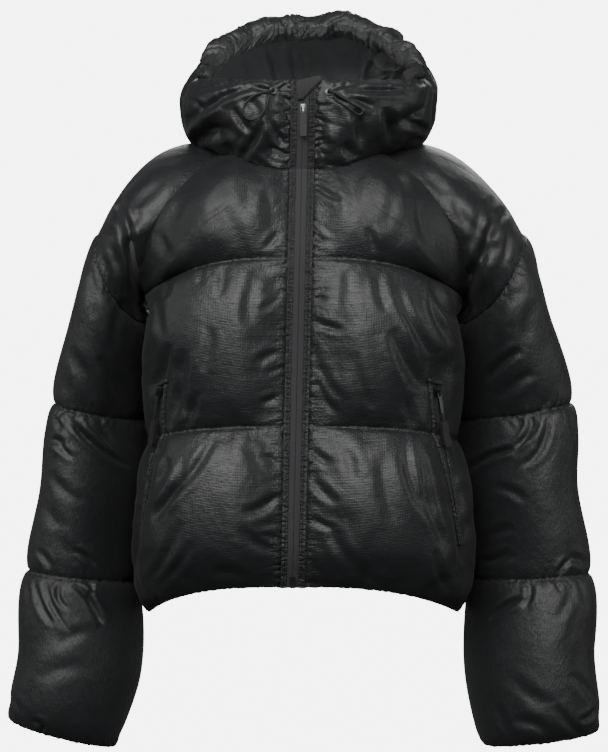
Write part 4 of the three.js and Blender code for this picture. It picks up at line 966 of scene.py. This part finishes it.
for name, mirror in side.items():
    ring = neck_ring(mirror, hood_columns)
    degrees = np.degrees(np.arctan2(np.abs(ring[:, 0]), -ring[:, 1]))
    degrees = (degrees - degrees[0]) / (180 - degrees[0]) * 180
    rise, turn = np.meshgrid(hood_rises, degrees, indexing="ij")
    base = hood_points(np.broadcast_to(ring, (*rise.shape, 3)), turn, mirror, rise)
    base[:, 0, 0] = zip_x(base[:, 0, 2]) + mirror * closure * 1000
    base /= 1000
    out = grid_normals(base) * mirror
    puff = 8 * np.sin(np.pi * rise**1.3) * smooth(turn / 180, 0, 0.08)
    # the sides sag over the shoulders
    droop = hood_droop[name] * np.exp(-(((rise - 0.2) / 0.15) ** 2) - ((turn - 84) / 34) ** 2)
    puff += droop * smooth(rise, 0, 0.1)
    held = held_lines(rise.shape, [0, -1])
    hood_seams = [
        ("row", 0, 0.008, 0.02, 0.0022), ("row", 42, 0.010, 0.03, 0.0026),
        ("column", 0, *zip_pucker), ("column", hood_columns - 1, *seam_pucker),
    ]
    folds = hood_folds[name]
    puff /= 1000
    seed = 20 + mirror
    outer = sewn(base, out, puff, held, False, mirror, folds, [], hood_seams, seed, grow=0.09, keep=0.75)
    # the cord and the eyelets press the cloth in behind them
    for place in cord_places:
        near = np.linalg.norm(outer[..., [0, 2]] - place[[0, 2]], axis=-1)
        behind = place[1] + 0.0013
        give = np.exp(-((near / 0.006) ** 2)) * (outer[..., 1] < behind)
        outer[..., 1] += np.where(outer[..., 1] < -0.06, (behind - outer[..., 1]) * give, 0)
    # the lining hangs loose inside, in soft folds
    slack = np.zeros(rise.shape)
    dice = np.random.default_rng(5 + mirror)
    for _ in range(14):
        at, lean = dice.random(), dice.normal() * 0.1
        half, deep = 0.012 + 0.03 * dice.random(), dice.random()
        slack += deep * np.exp(-(((turn / 180 - at - lean * rise) / half) ** 2)) * np.sin(np.pi * rise) ** 0.7
    inward = -finer(out)
    lining = folded(finer(base - out * (slack * 0.0028)[..., None]), inward, lining_folds[name])
    padded_shell("hood_" + name, outer, lining, out, held, False, mirror, 1)

# Brim: the gathered tunnel round the hood's opening. An elastic pulls it into narrow, uneven gathers, so that
# the roll is lumpy and creased all over.
brim_angles = np.linspace(68, 180, 200)
brim_sides = 44
half_flat, half_thick = 0.0168, 0.0150
edges, arrivals = [], []
for mirror in (-1, 1):
    edge = hood_edge(brim_angles, mirror)
    angle = np.radians(brim_angles)
    tall = edge[:, 2] - neck(brim_angles)[:, 2]
    high = through(hood_swing, brim_angles)[:, 1]
    away = np.stack([mirror * np.sin(angle), -np.cos(angle), np.zeros(200)], -1)
    arrive = -away * high[:, None] + np.stack([0 * tall, 0 * tall, hood_dip * tall], -1)
    arrivals.append(unit(arrive))
    edges.append(edge)
edge = np.concatenate([edges[0], edges[1][-2::-1]]) / 1000
arrive = np.concatenate([arrivals[0], arrivals[1][-2::-1]])
reach = lengths(edge)
along = np.linspace(0, reach[-1], 560)
edge, arrive = at_lengths(along, reach, edge), unit(at_lengths(along, reach, arrive))
sideways = unit(np.cross(np.gradient(edge, axis=0), arrive))
share = along / reach[-1]
# the roll stands up at three corners, as the drawcord pulls it
for at, half, up in ((0.34, 0.05, 4.5), (0.6, 0.06, 8), (0.76, 0.04, 4), (0.2, 0.04, 2.5)):
    edge[:, 2] += up / 1000 * np.exp(-(((share - at) / half) ** 2))
taper = 0.45 + 0.55 * smooth(np.minimum(share, 1 - share), 0, 0.16)
turn = np.linspace(0, 2 * np.pi, brim_sides, endpoint=False)
dice = np.random.default_rng(11)
depth = np.zeros((len(along), brim_sides))
at = 0.0
while at < reach[-1]:
    half = 0.0012 + 0.002 * dice.random()
    deep = 0.0012 + 0.0036 * dice.random() ** 1.4
    slant = dice.normal() * 0.0035
    wander = dice.random() * 6.3
    middle = np.pi * (0.6 + 0.8 * dice.random())
    from_middle = (turn - middle + np.pi) % (2 * np.pi) - np.pi
    window = np.exp(-((from_middle / (0.9 + 1.6 * dice.random())) ** 2))
    line = at + slant * (turn - np.pi) + 0.0012 * np.sin(2 * turn + wander)
    depth += deep * window * np.exp(-(((along[:, None] - line) / half) ** 2))
    at += 0.0022 + 0.0046 * dice.random()
lumps = np.array([
    [noise.noise(Vector((a * 38, np.cos(t) * 0.9, np.sin(t) * 0.9))) for t in turn] for a in along
])
creases = np.array([
    [1 - 2.4 * abs(noise.noise(Vector((a * 95 + 3 * t, 4 + np.cos(t) * 1.6, np.sin(t) * 1.6)))) for t in turn]
    for a in along
])
swell = (0.0042 * lumps + 0.0016 * creases - depth) * taper[:, None]
half = half_flat * taper
middle = edge + arrive * (half * 0.924 - 0.0003)[:, None]
across_way = (half[:, None] + swell) * np.cos(turn)
thick_way = (half_thick * taper[:, None] + swell) * np.sin(turn)
roll = middle[:, None] + arrive[:, None] * across_way[..., None]
roll = roll + sideways[:, None] * thick_way[..., None]
ends = np.stack([roll[0].mean(0), roll[-1].mean(0)])
rolled = grid_faces(len(along), brim_sides, True).tolist()
last = (len(along) - 1) * brim_sides
for k in range(brim_sides):
    after = (k + 1) % brim_sides
    rolled.append((len(along) * brim_sides, after, k))
    rolled.append((len(along) * brim_sides + 1, last + k, last + after))
flat = np.stack(np.broadcast_arrays(turn * half_flat, along[:, None]), -1).reshape(-1, 2)
points, flat = np.concatenate([roll.reshape(-1, 3), ends]), np.concatenate([flat, np.zeros((2, 2))])
brim = placed("gathered_brim", points, rolled, [shell_cloth], flat, 0.35)
brim.data.validate()
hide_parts("hood_brim")

# Closure: a reverse coil zip from the hem to the collar's top. Its matte tapes lie between two narrow folded
# strips, whose stitches pull the nylon into dense crinkles. The tape's end is folded over the top of the zip.
def plain(name, color, roughness, grain, scale, metallic=0.0):
    made, place, _ = new_material(name, color, roughness, Metallic=metallic)
    spots = cloudy(place, scale)
    (spots * 0.2 + (roughness - 0.1)).into("Roughness")
    bumped(spots, grain, 0.0003)
    return made


woven_tape, _, cloth = new_material("zip_tape", (0.04, 0.04, 0.042), 0.8, Specular_IOR_Level=0.3)
across, up = across_and_up(cloth)
bumped(waves(up + across, 0.0011) * 0.5 + waves(across, 0.0008) * 0.5, 0.5, 0.0002)
coil_plastic = plain("coil_plastic", (0.02, 0.02, 0.021), 0.38, 0.2, 900)
# half length, half width and height of a stitch, and of a turn of the coil
stitch, coil_turn = (0.0011, 0.0003, 0.00035), (0.0007, 0.0004, 0.0004)
thread = plain("thread", (0.05, 0.05, 0.053), 0.45, 0.4, 2500)
dark_nickel = plain("dark_nickel", (0.13, 0.13, 0.135), 0.36, 0.25, 1400, 1.0)
# a brighter copy of the nickel, used only as a painted glint on the front of the zip slider
painted_glint_nickel = plain("painted_glint_nickel", (0.55, 0.55, 0.57), 0.24, 0.2, 1400, 1.0)
black_rubber = plain("black_rubber", (0.012, 0.012, 0.012), 0.55, 0.5, 1100)


def strip(name, line, look, near=None):
    """A closed strip: line[row][k] are the points round its section, in rows along it."""
    rows, count = line.shape[:2]
    faces = grid_faces(rows, count, True).tolist()
    faces.append(list(range(count))[::-1])
    faces.append(list(range((rows - 1) * count, rows * count)))
    flat = grid_cloth(line).reshape(-1, 2)
    return placed(name, line.reshape(-1, 3), faces, [look], flat, near)


def beads(name, middles, long_way, wide_way, out_way, size, look):
    """Small rounded pieces in a row, such as stitches or zip teeth, each an eight-sided bead."""
    long, wide, tall = [way * s for way, s in zip((long_way, wide_way, out_way), size)]
    ahead, behind = middles + 0.45 * long, middles - 0.45 * long
    corners = np.stack([
        middles + long, ahead + wide, ahead + tall, ahead - wide,
        behind + wide, behind + tall, behind - wide, middles - long,
    ], 1)
    one = [(0, 1, 2), (0, 2, 3), (1, 4, 5, 2), (2, 5, 6, 3), (4, 7, 5), (5, 7, 6)]
    faces = [tuple(8 * i + k for k in face) for i in range(len(middles)) for face in one]
    return placed(name, corners.reshape(-1, 3), faces, [look])


def evenly(line, pitch, *others):
    """The line, and other rows of vectors along it, at even steps of one pitch."""
    reach = lengths(line)
    at = np.arange(pitch / 2, reach[-1], pitch)
    return [at_lengths(at, reach, rows) for rows in (line, *others)]


low_line = torso_points("front", np.zeros(160), np.linspace(0, 3, 160))
high_line = hood_points(np.broadcast_to(low_line[-1], (50, 3)), np.zeros(50), -1, np.linspace(0, 1, 50))
zip_line = np.concatenate([low_line, high_line[1:]]) / 1000
zip_line[:, 0] = zip_x(zip_line[:, 2] * 1000) / 1000
reach = lengths(zip_line)
zip_at = np.linspace(0, reach[-1], 640)
zip_line = at_lengths(zip_at, reach, zip_line)
run = unit(np.gradient(zip_line, axis=0))
zip_out = unit(np.stack([0 * run[:, 0], -run[:, 2], run[:, 1]], -1))
sideways = np.array([1.0, 0, 0])


def zip_grid(across, height):
    """Points beside the zip's middle line. across and height hold a value for each row and section point."""
    across, height = np.broadcast_arrays(across, height)
    return zip_line[:, None] + sideways * across[..., None] + zip_out[:, None] * height[..., None]


for name, mirror in side.items():
    # folded strip with its stitched crinkles
    x = np.array([6.5, 6.5, 7.0, 7.7, 8.4, 9.2, 10.1, 11.0, 11.9, 12.8, 13.6, 14.3, 14.5, 14.5]) / 1000
    top = np.array([0.2, 1.7, 2.5, 2.8, 2.55, 2.75, 2.95, 3.05, 3.0, 2.9, 2.8, 2.6, 1.7, 0.2]) / 1000
    along, away = np.broadcast_arrays(zip_at[:, None], (x - 0.0084)[None])
    crinkle = puckers(along, away, 200 + mirror, 0.0036, 0.009, 0.0015)
    crinkle += puckers(along + 0.002, away, 300 + mirror, 0.0052, 0.009, 0.0011)
    crinkle *= np.where(top > 0.001, 1.0, 0.0)
    section = zip_grid(mirror * x, top - crinkle)[:, ::mirror]
    made = strip("placket_cloth_" + name, section, shell_cloth, 0.9)
    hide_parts("zip_placket_" + name)
    # tape with the coil's ridge under it
    x = np.array([0.12, 0.12, 0.5, 1.2, 2.0, 2.8, 3.6, 4.2, 5.4, 6.7, 6.7]) / 1000
    top = np.array([0.8, 1.65, 1.95, 2.15, 2.2, 2.15, 1.95, 1.75, 1.7, 1.7, 0.8]) / 1000
    made = strip("woven_tape_" + name, zip_grid(mirror * x, top)[:, ::mirror], woven_tape)
    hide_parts("zip_tape_" + name)
    # coil turns in the gap, and the stitches of the strip
    spots, ways, outs = evenly(zip_line, 0.0013, run, zip_out)
    middles = spots + sideways * mirror * 0.0004 + outs * 0.0014
    beads("coil_" + name, middles, sideways + 0 * ways, ways, outs, coil_turn, coil_plastic)
    for number, place in enumerate((0.0084, 0.0132)):
        spots, ways, outs = evenly(zip_line, 0.0029, run, zip_out)
        middles = spots + sideways * mirror * place + outs * 0.0026
        bead_name = f"placket_stitches_{name}_{number}"
        beads(bead_name, middles, ways, sideways + 0 * ways, outs, stitch, thread)


def softened(node, name, body, look, bevel, segments=3):
    """A piece of hardware in its own form, with its edges rounded."""
    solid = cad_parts[node]
    made = added(name, solid.data.copy())
    made.data.materials.clear()
    made.data.materials.append(look)
    made.matrix_world = solid.matrix_world
    made.data.polygons.foreach_set("use_smooth", np.ones(len(made.data.polygons), bool))
    round_ = made.modifiers.new("rounded", "BEVEL")
    round_.width = bevel
    round_.segments = segments
    round_.limit_method = "ANGLE"
    round_.angle_limit = math.radians(35)
    round_.harden_normals = True
    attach(made, body)
    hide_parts(node)
    return made


slider = softened("zip_slider", "slider_body", "jacket", dark_nickel, 0.0006)
# the slider's front-most faces, its bridge, take the brighter nickel: a painted glint on the dark slider
slider.data.materials.append(painted_glint_nickel)
seat = zip_line[int(np.argmin(np.abs(zip_line[:, 2] - 0.042)))]
for polygon in slider.data.polygons:
    if (slider.matrix_world @ polygon.center).y < seat[1] - 0.0056:
        polygon.material_index = 1
softened("zip_pull", "slider_pull", "zip_pull_body", black_rubber, 0.0005)
softened("zip_box", "insertion_box", "jacket", dark_nickel, 0.0005)

# folded tape end: a triangle with ribs along its slanting side
spot = int(np.argmin(np.abs(zip_line[:, 2] - 0.064)))
fold_up = np.cross(sideways, -zip_out[spot])
along_fold = np.linspace(0, 1, 30)
left_edge = np.stack([np.interp(along_fold, [0, 1], [-8, -7]), np.interp(along_fold, [0, 1], [9, -13])], -1)
right_edge = np.stack([
    np.interp(along_fold, [0, 0.2, 1], [19, 20, -1]), np.interp(along_fold, [0, 0.2, 1], [15, 9, -13]),
], -1)
across_fold = np.linspace(0, 1, 45)
flat_fold = left_edge[:, None] * (1 - across_fold[:, None]) + right_edge[:, None] * across_fold[:, None]
edge_round = np.minimum(np.minimum(across_fold, 1 - across_fold)[None] * 8, 1)
rib = 0.4 * np.cos(2 * np.pi * across_fold * 6)[None] + 0 * along_fold[:, None]
height = 3.3 + 2.0 * edge_round**0.5 + rib * edge_round
middle = zip_line[spot]


def fold_place(height):
    across, up = flat_fold[..., :1] / 1000, flat_fold[..., 1:] / 1000
    return middle + sideways * across + fold_up * up + zip_out[spot] * (height / 1000)[..., None]


upper, lower = fold_place(height), fold_place(np.full(height.shape, 3.3))
rings = np.concatenate([upper, lower[:, ::-1]], 1)
made = strip("folded_tape_end", rings[:, ::-1], woven_tape)
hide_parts("zip_end_fold")

# Pockets: a coil zip on each front between two narrow folded welts, under a short top band. A metal slider
# carries a flat tab, and a rubber grip hangs from it.
fine_levels = np.interp(np.arange(2 * len(torso_levels) - 1) / 2, np.arange(len(torso_levels)), torso_levels)


def on_front(name, layer, across, level):
    grid = shells["front_" + name][layer]
    r = np.clip(np.interp(level, fine_levels, np.arange(len(fine_levels))), 0, grid.shape[0] - 1.001)
    c = np.clip(across * (grid.shape[1] - 1), 0, grid.shape[1] - 1.001)
    i, j = r.astype(int), c.astype(int)
    s, t = (r - i)[..., None], (c - j)[..., None]
    low = grid[i, j] * (1 - t) + grid[i, j + 1] * t
    high = grid[i + 1, j] * (1 - t) + grid[i + 1, j + 1] * t
    return low * (1 - s) + high * s


def by_pocket(name, level, off):
    """Points at distances in metres from a pocket's line, towards the side seam, and the way out there."""
    low, high = pocket_levels
    top, bottom = pocket_line[name]
    middle = top + (bottom - top) * (level - high) / (low - high)
    before, after = on_front(name, 0, middle - 0.02, level), on_front(name, 0, middle + 0.02, level)
    share = off * 0.04 / np.linalg.norm(after - before, axis=-1)
    return on_front(name, 0, middle + share, level), unit(on_front(name, 1, middle + share, level))


for name, mirror in side.items():
    rows = np.linspace(pocket_levels[0], pocket_levels[1], 150)
    rise = np.linspace(0, 1, 150)
    taper = 0.3 + 0.7 * smooth(rise, 0, 0.7)
    length = np.linalg.norm(by_pocket(name, rows[-1:], 0)[0] - by_pocket(name, rows[:1], 0)[0])
    for welt, toward in (("front", -1), ("side", 1)):
        x = np.array([4.0, 4.0, 4.6, 5.6, 6.8, 8.0, 9.2, 10.2, 10.6]) / 1000
        top = np.array([-0.8, 2.0, 3.1, 3.5, 3.4, 3.2, 2.7, 1.4, -0.8]) / 1000
        off = toward * x[None] * taper[:, None]
        level = np.broadcast_to(rows[:, None], off.shape)
        at, away = by_pocket(name, level, off)
        along = np.broadcast_to(rise[:, None] * length, off.shape)
        crinkle = puckers(along, x[None] - 0.0086 + 0 * along, 500 + mirror + toward, 0.0048, 0.008, 0.0012)
        height = top[None] - crinkle * (top > 0.001)
        section = (at + away * height[..., None])[:, :: mirror * toward]
        made = strip(f"welt_{welt}_{name}", section, shell_cloth, 0.7)
        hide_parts(f"pocket_welt_{welt}_{name}")
        spots, away = by_pocket(name, rows, toward * 0.0088 * taper)
        spots = spots + away * 0.0030
        spots, ways, outs = evenly(spots, 0.003, unit(np.gradient(spots, axis=0)), away)
        wide = unit(np.cross(ways, outs))
        beads(f"welt_stitches_{welt}_{name}", spots, ways, wide, outs, stitch, thread)
    # top band over the welts' upper ends
    x = np.linspace(-10.8, 10.8, 40) / 1000
    rise_band = np.array([-2.6, -2.6, -2.2, -1.0, 0.6, 1.9, 2.4, 2.4]) / 1000
    top = np.array([-0.8, 2.6, 3.9, 4.3, 4.2, 3.6, 2.4, -0.8]) / 1000
    above, below = [by_pocket(name, np.array([high]), 0)[0] for high in (1.34, 1.30)]
    per_level = 1 / np.linalg.norm(above - below)
    level = 1.325 + rise_band[None] * 0.04 * per_level + 0 * x[:, None]
    at, away = by_pocket(name, level, x[:, None] + 0 * level)
    end = np.minimum((0.0108 - np.abs(x)) / 0.0015, 1)[:, None]
    band = (at + away * (top[None] * (0.4 + 0.6 * end))[..., None])[:, :: -mirror]
    strip("welt_top_" + name, band, shell_cloth, 0.6)
    # zip tape and coil
    x = np.array([-4.2, -4.2, -2.2, -1.4, 0, 1.4, 2.2, 4.2, 4.2]) / 1000
    top = np.array([-0.8, 1.3, 1.4, 1.6, 1.5, 1.6, 1.4, 1.3, -0.8]) / 1000
    off = x[None] * taper[:, None]
    at, away = by_pocket(name, np.broadcast_to(rows[:, None], off.shape), off)
    tape = (at + away * top[None, :, None])[:, ::mirror]
    made = strip("pocket_tape_" + name, tape, woven_tape)
    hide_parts("pocket_zip_" + name)
    spots, away = by_pocket(name, rows, 0 * rows)
    spots = spots + away * 0.0017
    spots, ways, outs = evenly(spots, 0.0015, unit(np.gradient(spots, axis=0)), away)
    wide = unit(np.cross(ways, outs))
    beads("pocket_coil_" + name, spots, wide, ways, outs, (0.0015, 0.00055, 0.0006), coil_plastic)
    body = f"pocket_pull_{name}_body"
    softened("pocket_slider_" + name, "pocket_slider_body_" + name, "jacket", dark_nickel, 0.0006)
    softened("pocket_pull_" + name, "pocket_tab_" + name, body, dark_nickel, 0.0003)
    softened("pocket_toggle_" + name, "pocket_grip_" + name, body, black_rubber, 0.0011, 4)

# Eyelets and quilting: pressed metal rings where the drawcord leaves the collar, and the fine stitches that
# hold the padded channels down at their seams.
for name in side:
    softened("eyelet_" + name, "eyelet_ring_" + name, "jacket", dark_nickel, 0.0003)
for shell_name, (grid, normals) in shells.items():
    if shell_name.startswith("hood"):
        continue
    seam_rows = (80, 160, 240) if shell_name.startswith("sleeve") else (84, 168)
    for number, row in enumerate(seam_rows):
        line, away = grid[row], normals[row]
        if shell_name.startswith("sleeve"):
            line, away = np.concatenate([line, line[:1]]), np.concatenate([away, away[:1]])
        spots, ways, outs = evenly(line, 0.0032, unit(np.gradient(line, axis=0)), away)
        wide = unit(np.cross(ways, outs))
        name = f"quilt_stitches_{shell_name}_{number}"
        beads(name, spots + outs * 0.0002, ways, wide, outs, (0.0012, 0.0003, 0.0004), thread)
